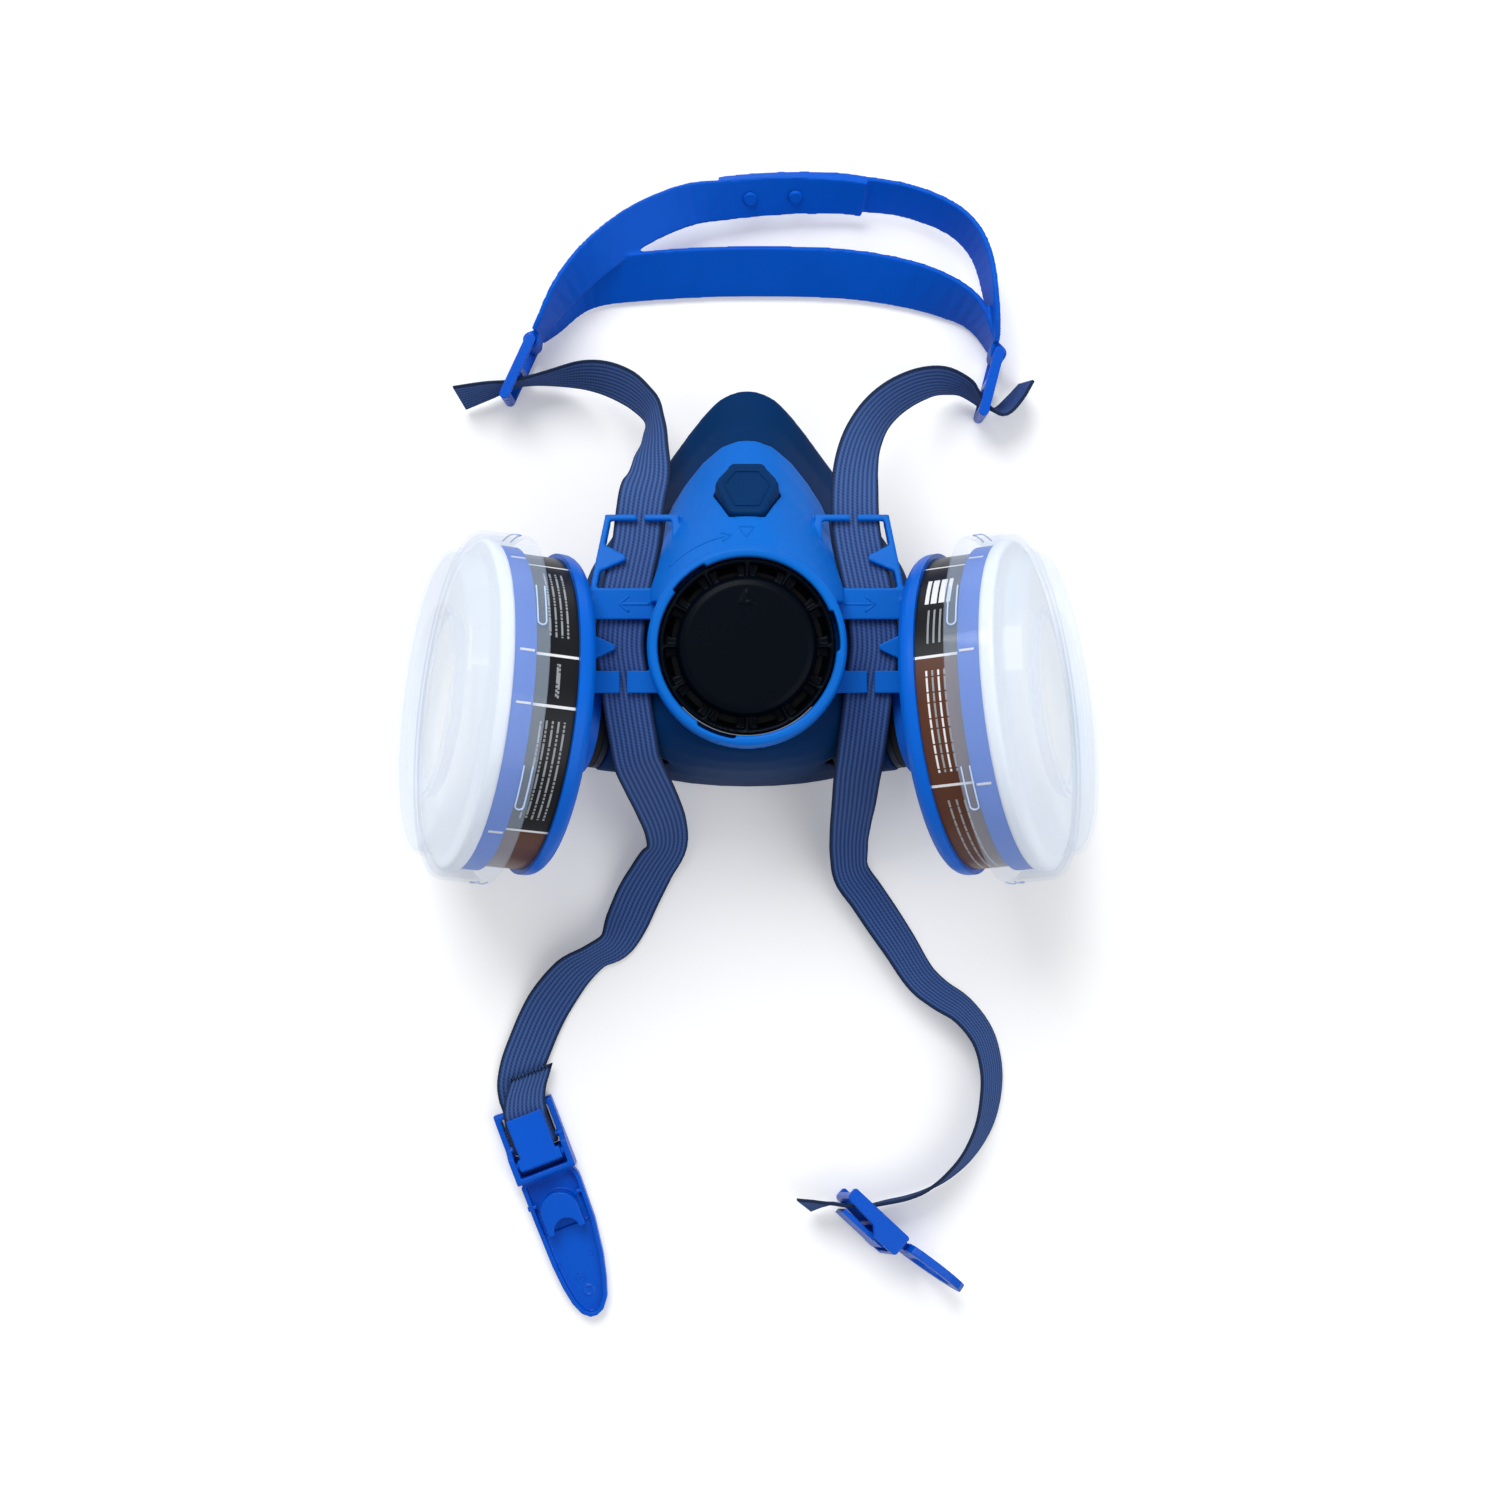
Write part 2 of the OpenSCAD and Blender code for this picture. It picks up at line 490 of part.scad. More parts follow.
route_right = [[18.9, -151.6, 9.4, 62], [23.5, -150.8, 10.8, 72], [27.8, -150.6, 11.8, 80],
    [32.5, -151.3, 11.6, 80], [36.9, -151.7, 10.9, 80], [41.4, -151.6, 10.2, 80], [47.1, -150.6, 9.2, 82],
    [53.7, -149.2, 8.8, 82], [60, -146.8, 8.4, 80], [67, -142.2, 8, 74], [73.6, -135.4, 7.8, 68],
    [78.8, -126, 7.5, 62], [81.2, -116, 7.3, 58], [81.4, -106, 7.2, 57], [78.6, -95.6, 7, 56],
    [72, -87, 6.9, 54], [64, -81.6, 6.6, 50], [57.6, -75.8, 6.2, 44], [51, -65.4, 5.6, 38],
    [45.4, -57, 5.4, 34], [40, -49, 5.6, 34], [35, -41.6, 7.6, 33], [33.8, -33.6, 13.6, 30],
    [33.8, -25.6, 25, 24], [34.2, -17.8, 39, 16], [34.6, -9.2, 52, 8], [35.2, -3.4, 58.8, 3],
    [36, 4, 63.4, 1], [37, 12.6, 66, 0], [37.9, 21, guide_z, 0], [39.4, 32, guide_z - 0.2, 0],
    [38.2, 45, guide_z - 0.3, 0],
    [36.2, 56, 63.4, 0], [34.6, 64.4, 61.1, 0], [33.8, 72, 59, 0], [33.8, 81, 55.8, 6],
    [34.6, 90, 50.4, 18], [37, 99, 43.6, 30], [41.6, 107.6, 36, 40], [48, 114.4, 28, 46],
    [56, 119.4, 20.6, 52], [64, 121.6, 15, 60], [71.6, 120.4, 11.4, 74], [75.8, 117.6, 10.3, 84],
    [79.6, 114.2, 10.2, 94], [84.4, 112.8, 9.4, 108], [89, 117, 8.6, 108], [93.2, 122.6, 8, 102]];

// Turn of the webbing round the bar inside the hook clip: [along, height]
bar_c = [12.6, 3.9];
bar_r = 1.2;
turn_r = bar_r + web_t / 2 + 0.3;
turn_path = concat([[-2.4, 1], [3, 1], [8.6, 1.3]],
    [for (a = [-90:20:90]) bar_c + turn_r * [cos(a), sin(a)]], [[8.4, 6.1], [5, 6.1], [2, 5.8]]);
function band_edge(p, d) = [for (i = [0:len(p) - 1])
    let (u = unit(p[min(i + 1, len(p) - 1)] - p[max(i - 1, 0)])) p[i] + d * [-u[1], u[0]]];
module web_turn() hook_place() translate([0, 0.6, 0]) rotate([90, 0, 0])
    linear_extrude(web_w - 0.2, center = true)
        polygon(concat(band_edge(turn_path, web_t / 2 - 0.05),
            reversed(band_edge(turn_path, 0.05 - web_t / 2))));
module webbing_left() color("#2b3f66") {
    strip(route_left, web_w, web_t, 2);
    strip(route_tail, web_w, web_t, 3);
    web_turn();
}
module webbing_right() color("#2b3f66") strip(route_right, web_w, web_t, 2);

// ---- head cradle --------------------------------------------------------

back_route = [[-69.4, 138, 9.6, 86], [-65.5, 142, 9.4, 78], [-61.5, 147.5, 8.9, 66],
    [-57.4, 152.2, 8.3, 56], [-50, 156, 7.5, 46], [-40, 157.8, 6.9, 41], [-20, 159.4, 6.7, 39],
    [1, 160, 6.7, 39], [24.6, 159.6, 6.7, 39], [40.3, 158.2, 6.9, 41], [56, 155, 7.5, 46],
    [67.8, 150.6, 8.3, 56], [75, 146, 9, 68], [79, 140.4, 9.4, 80],
    [81.8, 134.4, 9.7, 87]];
crown_left = [[-69.4, 138, 13.2, 86], [-67.9, 139.9, 13.6, 84], [-65.5, 143, 16, 76],
    [-61, 150, 18.4, 62], [-55, 157.6, 17.4, 48], [-48, 164.6, 16, 36],
    [-38, 172.4, 14.4, 26], [-28, 177.8, 13.2, 26], [-18, 181.4, 12.4, 30], [-9, 182.6, 11.6, 36],
    [1, 183.8, 11.2, 38], [16, 184.6, 11.2, 44], [32, 184.2, 11.2, 50], [39, 183.2, 11.2, 52]];
lap = strap_t + 0.5;
function under(p) = [p[0], p[1] + lap * sin(p[3]), p[2] - lap * cos(p[3]), p[3]];
crown_right = concat([for (i = [9:13]) under(crown_left[i])],
    [[50, 183.6, 10, 56], [60, 180.6, 10.4, 58], [68, 176.6, 11.2, 62], [73.2, 172, 12.2, 66],
     [77, 166, 13.6, 72],
     [79.2, 158.6, 15.4, 76], [80.4, 150.6, 17, 80], [81.4, 142.6, 16.2, 84], [81.7, 137.6, 13.6, 86],
     [81.8, 134.4, 13.2, 87]]);
stud_r = 1.2;
stud_at = [[1, 183.8, 11.2, 38], [16, 184.6, 11.2, 44]];
module at_stud(p) let (m = p, h = lap / 2)
    translate([m[0], m[1] + h * sin(m[3]), m[2] - h * cos(m[3])]) rotate([m[3], 0, 0]) children();
eye_left = [-71.4, 135.4];
eye_right = [82.9, 131];
eye_low = 2.7;
eye_h = 14.6;
pin_r = 1.4;
module cradle_eye(at_end, eye) difference() {
    hull() {
        translate([eye[0], eye[1], eye_low]) cylinder(r = pin_r + 1.3, h = eye_h);
        translate([at_end[0], at_end[1], eye_low]) cylinder(r = strap_t / 2, h = eye_h);
    }
    translate([eye[0], eye[1], 0]) cylinder(r = pin_r + gap, h = 30);
}
module head_cradle() color("#0a4fc4") {
    difference() {
        union() {
            strip(back_route, band_w, strap_t, 2);
            strip(crown_left, crown_w, strap_t, 2);
            strip(crown_right, crown_w, strap_t, 2);
        }
        for (p = stud_at) at_stud(p) cylinder(r = stud_r + 0.4, h = 12, center = true);
        translate([eye_left[0], eye_left[1], 0]) cylinder(r = pin_r + gap, h = 30);
        translate([eye_right[0], eye_right[1], 0]) cylinder(r = pin_r + gap, h = 30);
    }
    cradle_eye(back_route[0], eye_left);
    cradle_eye(back_route[len(back_route) - 1], eye_right);
}
stud_half = lap / 2 + strap_t / 2 + 0.5;
module crown_studs() color("#0d55c8") for (p = stud_at) at_stud(p) {
    cylinder(r = stud_r, h = 2 * stud_half + 0.2, center = true);
    for (m = [0, 1]) mirror([0, 0, m]) translate([0, 0, stud_half]) cylinder(r1 = 2.4, r2 = 1.9, h = 1);
}

// ---- cradle sliders -----------------------------------------------------

slider_l = 20;
slider_low = 0.3;
slider_h = 19.8;
slider_t = 3.4;
rail_h = 1.7;
module slider() difference() {
    translate([0, 0, slider_low]) linear_extrude(slider_h) hull() {
        circle(d = slider_t);
        translate([slider_l, 0]) circle(d = slider_t);
    }
    // slot for the cradle's eye, round the end pin
    translate([-4, -5, slider_low + rail_h]) cube([13.4, 10, slider_h - 2 * rail_h]);
    translate([11.4, -5, slider_low + rail_h]) cube([7.5, 10, slider_h - 2 * rail_h]);
}
module slider_with_pin() {
    slider();
    translate([0, 0, slider_low + 0.5]) cylinder(r = pin_r, h = slider_h - 1);
}
module slider_left() color("#0a4fc4")
    translate([eye_left[0], eye_left[1], 0]) rotate(-115) slider_with_pin();
module slider_right() color("#0a4fc4")
    translate([eye_right[0], eye_right[1], 0]) rotate(-104.6) slider_with_pin();

// ---- neck clips ---------------------------------------------------------

// Both clips share the adjuster: a tray with side walls, a bar for the webbing
// and a hinged flap that grips it. Local x runs down the clip, z up from its back.
clip_l = 24.6;
clip_half = 10.3;
clip_in = 8.3;
hinge_c = [18.4, 5.6];
hinge_pin = 1.3;
module hook_place() translate([-75.7, -119.4, 0.3]) rotate(-69.1) children();
module eye_place() translate([34, -145.5, 10.4]) rotate([76, 0, -43.1]) children();
module across(w) rotate([90, 0, 0]) linear_extrude(w, center = true) children();
module tray() difference() {
    union() {
        // side walls, higher at the hinge
        difference() {
            across(2 * clip_half) polygon([[0, 0.6], [0.6, 0], [clip_l - 0.6, 0], [clip_l, 0.6],
                [clip_l, 7], [clip_l - 0.8, 7.8], [15.4, 7.8], [12.4, 5], [0.8, 4.4], [0, 3.6]]);
            translate([2.2, -clip_in, -1]) cube([20.3, 2 * clip_in, 20]);
            translate([-1, -clip_in, -1]) cube([5, 2 * clip_in, 3]);
        }
        translate([15.8, -clip_in - 0.5, 0]) cube([7.2, 2 * clip_in + 1, 1.4]);
        translate([bar_c[0], 0, bar_c[1]]) rotate([90, 0, 0])
            cylinder(r = bar_r, h = 2 * clip_in + 1, center = true);
    }
    translate([hinge_c[0], 0, hinge_c[1]]) rotate([90, 0, 0])
        cylinder(r = hinge_pin + 0.25, h = 2 * clip_half - 1.4, center = true);
}
module flap() {
    across(12.4) polygon([[2.7, 6.9], [2.7, 8.5], [19.8, 8.4], [20.6, 7.6], [20.6, 5.6], [19.6, 4],
        [17.4, 4], [16.2, 6.2], [13, 6.9]]);
    translate([hinge_c[0], 0, hinge_c[1]]) rotate([90, 0, 0]) {
        cylinder(r = 2.1, h = 14.8, center = true);
        cylinder(r = hinge_pin, h = 2 * clip_half - 2, center = true);
    }
    across(14.8) polygon([[16.4, 6.9], [16.4, 8.42], [19.8, 8.4], [20.4, 7.8], [20.4, 5.6], [18.4, 5]]);
}

tongue = [[24, -8.4], [26, -10], [39, -9.9], [54, -9.6], [62, -8.9], [68, -7.8], [72.4, -6], [74.4, -3.6],
    [74.6, -1.4], [73.4, 1.4], [70, 4], [64, 6], [56, 7.9], [44, 9.5], [30, 9.9], [27.6, 9.8], [24, 8.4]];
horn_x = 37;
horn_r = 6.4;
module hook_clip() color("#0a4fc4") hook_place() {
    tray();
    difference() {
        linear_extrude(4) polygon(tongue);
        translate([0, 0, 1.4]) linear_extrude(4) intersection() {
            offset(delta = -1.5) polygon(tongue);
            translate([20, -20]) square([23.5, 40]);
        }
        translate([0, 0, 2]) linear_extrude(4) intersection() {
            offset(delta = -1.5) polygon(tongue);
            translate([43, -20]) square([40, 40]);
        }
        translate([-10, -20, -1]) cube([10 + clip_l - 0.4, 40, 10]);
    }
    difference() {
        translate([0, 0, 1.2]) linear_extrude(7) difference() {
            union() {
                translate([horn_x, 0]) circle(r = horn_r);
                translate([horn_x, -horn_r]) square([6.9, 2 * horn_r]);
            }
            translate([43.9, 0]) circle(r = 4.4);
        }
        translate([35.4, -10, 1.5]) cube([12, 20, 3.6]);
    }
    for (s = [-1, 1]) translate([33.4, s * 8.6, 2.6]) rotate([90, 0, 0])
        cylinder(r = 0.6, h = 1.6, center = true);
    translate([66, -1.2, 1.8]) difference() {
        cylinder(r = 1.8, h = 0.5);
        translate([0, 0, 0.1]) cylinder(r = 1.3, h = 1);
    }
}
module adjuster_flap_left() color("#0f58d0") hook_place() flap();

eye_half = [[26.4, 0], [26.4, 6.6], [28, 8.6], [31, 9.5], [38, 9], [44, 7.2], [48.4, 4.2], [50.2, 1.6],
    [50.4, 0]];
eye_hole = [[31.4, 0], [31.4, 5], [33, 6.7], [37, 6.6], [42, 4.8], [45.6, 2], [46, 0]];
module mirrored(p) polygon(concat(p, [for (i = [len(p) - 2:-1:1]) [p[i][0], -p[i][1]]]));
module eye_clip() color("#0a4fc4") eye_place() {
    tray();
    translate([clip_l - 0.6, -4.4, 1]) cube([4.2, 8.8, 2.6]);
    translate([clip_l, 0, 0.9]) rotate([0, 7, 0]) translate([-clip_l, 0, 0])
        linear_extrude(2.8) difference() {
            mirrored(eye_half);
            mirrored(eye_hole);
        }
}
module adjuster_flap_right() color("#0f58d0") eye_place() flap();

facepiece();
front_frame();
exhalation_seat();
exhalation_flap();
valve_cover();
port_left();
port_right();
inhalation_flap_left();
inhalation_flap_right();
gasket_left();
gasket_right();
cartridge_shell_left();
cartridge_shell_right();
label_left();
label_right();
carbon_bed_left();
carbon_bed_right();
filter_pad_left();
filter_pad_right();
retainer_left();
retainer_right();
webbing_left();
webbing_right();
head_cradle();
crown_studs();
slider_left();
slider_right();
hook_clip();
adjuster_flap_left();
eye_clip();
adjuster_flap_right();
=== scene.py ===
"""Half-mask respirator with two twist-on cartridges, lying face up with its harness spread out."""

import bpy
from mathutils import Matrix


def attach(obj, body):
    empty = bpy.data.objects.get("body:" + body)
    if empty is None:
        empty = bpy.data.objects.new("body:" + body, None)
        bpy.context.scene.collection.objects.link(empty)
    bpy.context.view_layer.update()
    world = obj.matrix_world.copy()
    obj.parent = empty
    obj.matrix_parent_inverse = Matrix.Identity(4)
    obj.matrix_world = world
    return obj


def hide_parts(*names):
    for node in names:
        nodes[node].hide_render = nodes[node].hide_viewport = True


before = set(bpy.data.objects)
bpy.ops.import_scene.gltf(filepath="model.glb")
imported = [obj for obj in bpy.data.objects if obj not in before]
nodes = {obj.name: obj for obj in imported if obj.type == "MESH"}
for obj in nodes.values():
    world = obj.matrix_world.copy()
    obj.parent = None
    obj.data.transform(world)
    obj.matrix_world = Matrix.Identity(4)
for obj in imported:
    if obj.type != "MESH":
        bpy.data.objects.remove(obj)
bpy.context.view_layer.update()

import math

import bpy
from mathutils import Matrix, Vector

MM = 0.001

# ---- Camera, lamps and floor ------------------------------------------------
# The mask lies on a white table between two large soft boxes and is seen from straight
# above. The table takes a soft, faint shadow, and the camera sees it as white.


def paint(code):
    """An sRGB hex colour as the linear colour that a shader takes."""
    parts = [int(code[i:i + 2], 16) / 255 for i in (1, 3, 5)]
    return [c / 12.92 if c <= 0.04045 else ((c + 0.055) / 1.055) ** 2.4 for c in parts] + [1]


def add(material, kind, inputs=(), **settings):
    """Adds one shader node to a material, with its settings, its values and its links."""
    node = material.node_tree.nodes.new("ShaderNode" + kind)
    for name, value in settings.items():
        setattr(node, name, value)
    for name, value in dict(inputs).items():
        if isinstance(value, bpy.types.NodeSocket):
            material.node_tree.links.new(value, node.inputs[name])
        else:
            node.inputs[name].default_value = value
    return node


def blank_material(name):
    material = bpy.data.materials.new(name)
    material.use_nodes = True
    material.node_tree.nodes.clear()
    return material


scene = bpy.context.scene
scene.view_settings.view_transform = "Standard"
bpy.ops.object.select_all(action="DESELECT")

camera_high = 800 * MM
bpy.ops.object.camera_add(location=(0.91 * MM, 0, camera_high), rotation=(0, 0, 0))
camera = bpy.context.object
camera.data.lens = 56.95
camera.data.sensor_width = 36
camera.data.clip_start = 0.01
scene.camera = camera

for lamp_place, lamp_size, lamp_watts in (((-0.3, 1.0, 1.2), 0.9, 18), ((0.9, -0.5, 1.1), 1.2, 6.6)):
    bpy.ops.object.light_add(type="AREA", location=lamp_place)
    soft_box = bpy.context.object
    soft_box.data.size = lamp_size
    soft_box.data.energy = lamp_watts
    soft_box.rotation_euler = Vector(lamp_place).to_track_quat("Z", "Y").to_euler()

world = bpy.data.worlds.new("white_room")
scene.world = world
world.use_nodes = True
world.node_tree.nodes["Background"].inputs["Color"].default_value = (1, 1, 1, 1)
world.node_tree.nodes["Background"].inputs["Strength"].default_value = 0.45

bpy.ops.mesh.primitive_plane_add(size=6, location=(0, 0, -0.3 * MM))
table = bpy.context.object
table.name = "table"
white_table = blank_material("white_laminate")
seen = add(white_table, "LightPath")
lit = add(white_table, "BsdfDiffuse", {"Color": paint("#f4f5f6")})
lift = add(white_table, "Math", {0: seen.outputs["Is Camera Ray"], 1: 0.2}, operation="MULTIPLY")
glow = add(white_table, "Emission", {"Color": paint("#ffffff"), "Strength": lift.outputs[0]})
both = add(white_table, "AddShader", {0: lit.outputs[0], 1: glow.outputs[0]})
add(white_table, "OutputMaterial", {"Surface": both.outputs[0]})
table.data.materials.append(white_table)

# ---- Facepiece --------------------------------------------------------------
# The soft body that seals on the face: dark navy silicone rubber, moulded in one
# piece with its turned-in lip and the six-sided boss that locks the frame at the nose.


def moulding(name, main, shade, rough, grain_mm=0.5, depth_mm=0.02, shine=0.2):
    """Moulded rubber or plastic: fine even grain, a slight change of tone, its own gloss."""
    material = blank_material(name)
    place = add(material, "TexCoord").outputs["Object"]
    grain = add(material, "TexNoise", {"Vector": place, "Scale": 1 / (grain_mm * MM), "Detail": 3})
    drift = add(material, "TexNoise", {"Vector": place, "Scale": 35, "Detail": 2})
    tone = add(material, "MixRGB", {
        "Fac": drift.outputs["Fac"], "Color1": paint(main), "Color2": paint(shade)})
    relief = add(material, "Bump", {
        "Height": grain.outputs["Fac"], "Strength": 0.5, "Distance": depth_mm * MM})
    wear = add(material, "MapRange", {
        "Value": grain.outputs["Fac"], "To Min": rough - 0.06, "To Max": rough + 0.06})
    shader = add(material, "BsdfPrincipled", {
        "Base Color": tone.outputs["Color"], "Roughness": wear.outputs["Result"],
        "Normal": relief.outputs["Normal"], "Specular IOR Level": shine})
    add(material, "OutputMaterial", {"Surface": shader.outputs[0]})
    return material


def cover_with(piece, *materials):
    piece.data.materials.clear()
    for material in materials:
        piece.data.materials.append(material)


def finish_piece(piece, body, slot, *replaced):
    """Smooth shading, the body that the piece moves with, and what it stands for. The slot argument is not
    used.
    """
    bpy.ops.object.select_all(action="DESELECT")
    piece.select_set(True)
    bpy.context.view_layer.objects.active = piece
    bpy.ops.object.shade_smooth()
    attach(piece, body)
    if replaced:
        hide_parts(*replaced)
    piece.select_set(False)


def modify(piece, kind, **settings):
    bpy.ops.object.select_all(action="DESELECT")
    piece.select_set(True)
    bpy.context.view_layer.objects.active = piece
    modifier = piece.modifiers.new(kind.lower(), kind)
    for name, value in settings.items():
        setattr(modifier, name, value)
    bpy.ops.object.modifier_apply(modifier=modifier.name)


def as_moulded(node, name, voxel_mm, rounds):
    """A copy of a CAD node with the small round edges that a mould leaves."""
    piece = bpy.data.objects.new(name, nodes[node].data.copy())
    scene.collection.objects.link(piece)
    bpy.ops.object.select_all(action="DESELECT")
    piece.select_set(True)
    bpy.context.view_layer.objects.active = piece
    bpy.ops.object.mode_set(mode="EDIT")
    bpy.ops.mesh.select_all(action="SELECT")
    bpy.ops.mesh.remove_doubles(threshold=0.002 * MM)
    bpy.ops.object.mode_set(mode="OBJECT")
    modify(piece, "REMESH", mode="VOXEL", voxel_size=voxel_mm * MM)
    modify(piece, "SMOOTH", factor=0.5, iterations=rounds)
    return piece


facepiece = as_moulded("facepiece", "facepiece_body", 0.8, 10)
navy_rubber = moulding("silicone_rubber_navy", "#023264", "#022a55", 0.52, 0.35, 0.015, 0.05)
cover_with(facepiece, navy_rubber)
finish_piece(facepiece, "mask", "face_rubber", "facepiece")

# ---- Front frame ------------------------------------------------------------
# The hard bright blue yoke over the rubber: glass-filled polypropylene with a fine
# spark-eroded grain, moulded with the valve ring and the bars that guide the harness.

front = as_moulded("front_frame", "front_yoke", 0.42, 3)
azure = moulding("polypropylene_azure", "#046bcf", "#0462c0", 0.42, 0.6, 0.05, 0.1)
cover_with(front, azure)
finish_piece(front, "mask", "frame_blue", "front_frame")


def ground(host, x, y):
    """Height of a piece's upper surface at a place seen from above."""
    hit, spot, _, _ = host.ray_cast(Vector((x, y, 0.3)), Vector((0, 0, -1)))
    return spot.z if hit else 0.0


def ridge(name, host, points, width, high, closed=False, step=0.8 * MM):
    """A low raised line on a host piece, along points given from above in metres."""
    loop = points + points[:1] if closed else points
    line = []
    for a, b in zip(loop, loop[1:]):
        a, b = Vector(a), Vector(b)
        count = max(1, round((b - a).length / step))
        line += [a.lerp(b, i / count) for i in range(count)]
    if not closed:
        line.append(Vector(loop[-1]))
    verts, faces = [], []
    n = len(line)
    for i, p in enumerate(line):
        before = line[(i - 1) % n] if closed or i else p
        after = line[(i + 1) % n] if closed or i < n - 1 else p
        side = Vector((-(after - before).y, (after - before).x)).normalized()
        for across, lift_by in ((-0.5, -0.4), (-0.3, 1), (0.3, 1), (0.5, -0.4)):
            x, y = p + side * across * width
            verts.append((x, y, ground(host, x, y) + lift_by * high))
    for i in range(n if closed else n - 1):
        j = (i + 1) % n
        for k in range(4):
            m = (k + 1) % 4
            faces.append((4 * i + k, 4 * j + k, 4 * j + m, 4 * i + m))
    if not closed:
        faces += [(0, 1, 2, 3), (4 * n - 1, 4 * n - 2, 4 * n - 3, 4 * n - 4)]
    mesh = bpy.data.meshes.new(name)
    mesh.from_pydata(verts, [], faces)
    piece = bpy.data.objects.new(name, mesh)
    scene.collection.objects.link(piece)
    bpy.ops.object.select_all(action="DESELECT")
    piece.select_set(True)
    bpy.context.view_layer.objects.active = piece
    bpy.ops.object.mode_set(mode="EDIT")
    bpy.ops.mesh.select_all(action="SELECT")
    bpy.ops.mesh.normals_make_consistent(inside=False)
    bpy.ops.object.mode_set(mode="OBJECT")
    return piece


# Moulded marks: a pointer above the ring, a curved arrow for the cover's turn and
# an arrow on each bridge that shows which way the webbing pulls.
marks = []
pointer = [(-2.6 * MM, 67.9 * MM), (2.2 * MM, 67.9 * MM), (-0.2 * MM, 64.6 * MM)]
marks.append(ridge("pointer_mark", front, pointer, 0.5 * MM, 0.22 * MM, closed=True))
ring_centre = Vector((0, 31.3 * MM))


def round_ring(degrees, radius):
    turn = math.radians(degrees)
    return tuple(ring_centre + radius * Vector((math.cos(turn), math.sin(turn))))


marks.append(ridge("turn_mark", front, [round_ring(a, 34.2 * MM) for a in range(134, 98, -4)],
                   0.6 * MM, 0.22 * MM))
marks.append(ridge("turn_mark_head", front, [round_ring(103, 35.8 * MM), round_ring(98, 34.2 * MM),
                                             round_ring(103, 32.8 * MM)], 0.6 * MM, 0.22 * MM))
for side, name in ((-1, "left"), (1, "right")):
    shaft = [(side * 30 * MM, 45 * MM), (side * 39 * MM, 45 * MM)]
    head = [(side * 36.4 * MM, 47.4 * MM), (side * 39.4 * MM, 45 * MM), (side * 36.4 * MM, 42.6 * MM)]
    marks.append(ridge("pull_mark_" + name, front, shaft, 1.1 * MM, 0.2 * MM))
    marks.append(ridge("pull_mark_head_" + name, front, head, 0.9 * MM, 0.2 * MM))
for mark in marks:
    cover_with(mark, azure)
    finish_piece(mark, "mask", "frame_blue")

# A smaller six-sided ridge runs round the top of the rubber boss.
boss_y = 80.7
boss_mark = ridge("boss_ridge", facepiece, [(x * MM, (boss_y + y) * MM) for x, y in (
    (-3.6, 5.6), (3.6, 5.6), (7, 1.2), (3.6, -5.8), (-3.6, -5.8), (-7, 1.2))],
                  0.8 * MM, 0.35 * MM, closed=True)
cover_with(boss_mark, navy_rubber)
finish_piece(boss_mark, "mask", "face_rubber")

# ---- Exhalation valve -------------------------------------------------------
# A near-black nylon cover with a raised disc and a spoked recess turns into the
# frame's ring, over a seat with a thin smoky silicone flap.

cover = as_moulded("valve_cover", "cover_cap", 0.4, 2)
black_nylon = moulding("nylon_black", "#02060d", "#040a14", 0.36, 0.5, 0.02, 0.05)
cover_with(cover, black_nylon)
finish_piece(cover, "cover", "valve_black", "valve_cover")
cover_with(nodes["exhalation_seat"], black_nylon)
smoky_silicone = moulding("silicone_smoky", "#1b222b", "#232b35", 0.3, 0.4, 0.01)
for node in ("exhalation_flap", "inhalation_flap_left", "inhalation_flap_right"):
    cover_with(nodes[node], smoky_silicone)

# ---- Ports and gaskets ------------------------------------------------------
# A navy nylon tube with three lugs is clamped in each side of the facepiece, and a
# black rubber ring on it seals the cartridge.

port_nylon = moulding("nylon_navy", "#0d1a2b", "#102036", 0.4, 0.5, 0.02)
gasket_rubber = moulding("rubber_black", "#15181c", "#1a1d21", 0.6, 0.4, 0.02)
for side in ("left", "right"):
    cover_with(nodes["port_" + side], port_nylon)
    cover_with(nodes["gasket_" + side], gasket_rubber)

# ---- Cartridges -------------------------------------------------------------
# Round blue ABS shells filled with carbon granules, turned onto the ports. A printed
# film label runs round each, and short ticks on the band above carry its divisions on.

tilt = math.radians(19)
splay = math.radians(7)
port_place = (Matrix.Translation((51.33835 * MM, 9.51724 * MM, 44.91463 * MM))
              @ Matrix.Rotation(splay, 4, "Z") @ Matrix.Rotation(math.pi / 2 - tilt, 4, "Y"))
mirror_x = Matrix.Diagonal((-1, 1, 1, 1))
cartridge_place = {"right": port_place, "left": mirror_x @ port_place}

shell_blue = moulding("abs_blue", "#0364d4", "#035cc6", 0.32, 0.8, 0.02, 0.12)
granules = moulding("carbon_granules", "#16181b", "#2c2f33", 0.85, 1.4, 0.4)
label_ink = {
    "black": moulding("label_film_black", "#131519", "#17191e", 0.3, 0.3, 0.005),
    "white": moulding("label_film_white", "#e9ebec", "#dfe1e3", 0.3, 0.3, 0.005),
    "brown": moulding("label_film_brown", "#5b3626", "#533124", 0.3, 0.3, 0.005),
    "grey": moulding("label_film_grey", "#8f9398", "#989ca1", 0.3, 0.3, 0.005),
}
ink_names = list(label_ink)

label_radius = 49.4 * MM
label_low = 16.7 * MM
label_high = 30.1 * MM
label_cells = 720
label_rows = 22


def turned(degrees):
    """Angle in the cartridge's frame of a place that many degrees round from the nose side."""
    return math.radians(degrees + 90)


def left_print(degrees, row):
    """What is printed on the left label: black fields, thin white rules, one brown field."""
    for rule in (24, 69, 87, 136, 180):
        if abs(degrees - rule) < 0.4:
            return "white"
    if 136 < degrees < 180:
        return "brown"
    for start, stop, rows in ((30, 62, (5, 8, 11, 14)), (92, 130, (4, 7, 10, 13, 16)), (72, 84, (9, 10))):
        if start < degrees < stop and row in rows and (degrees * 7 + row * 3) % 11 > 2:
            return "grey"
    return "black"


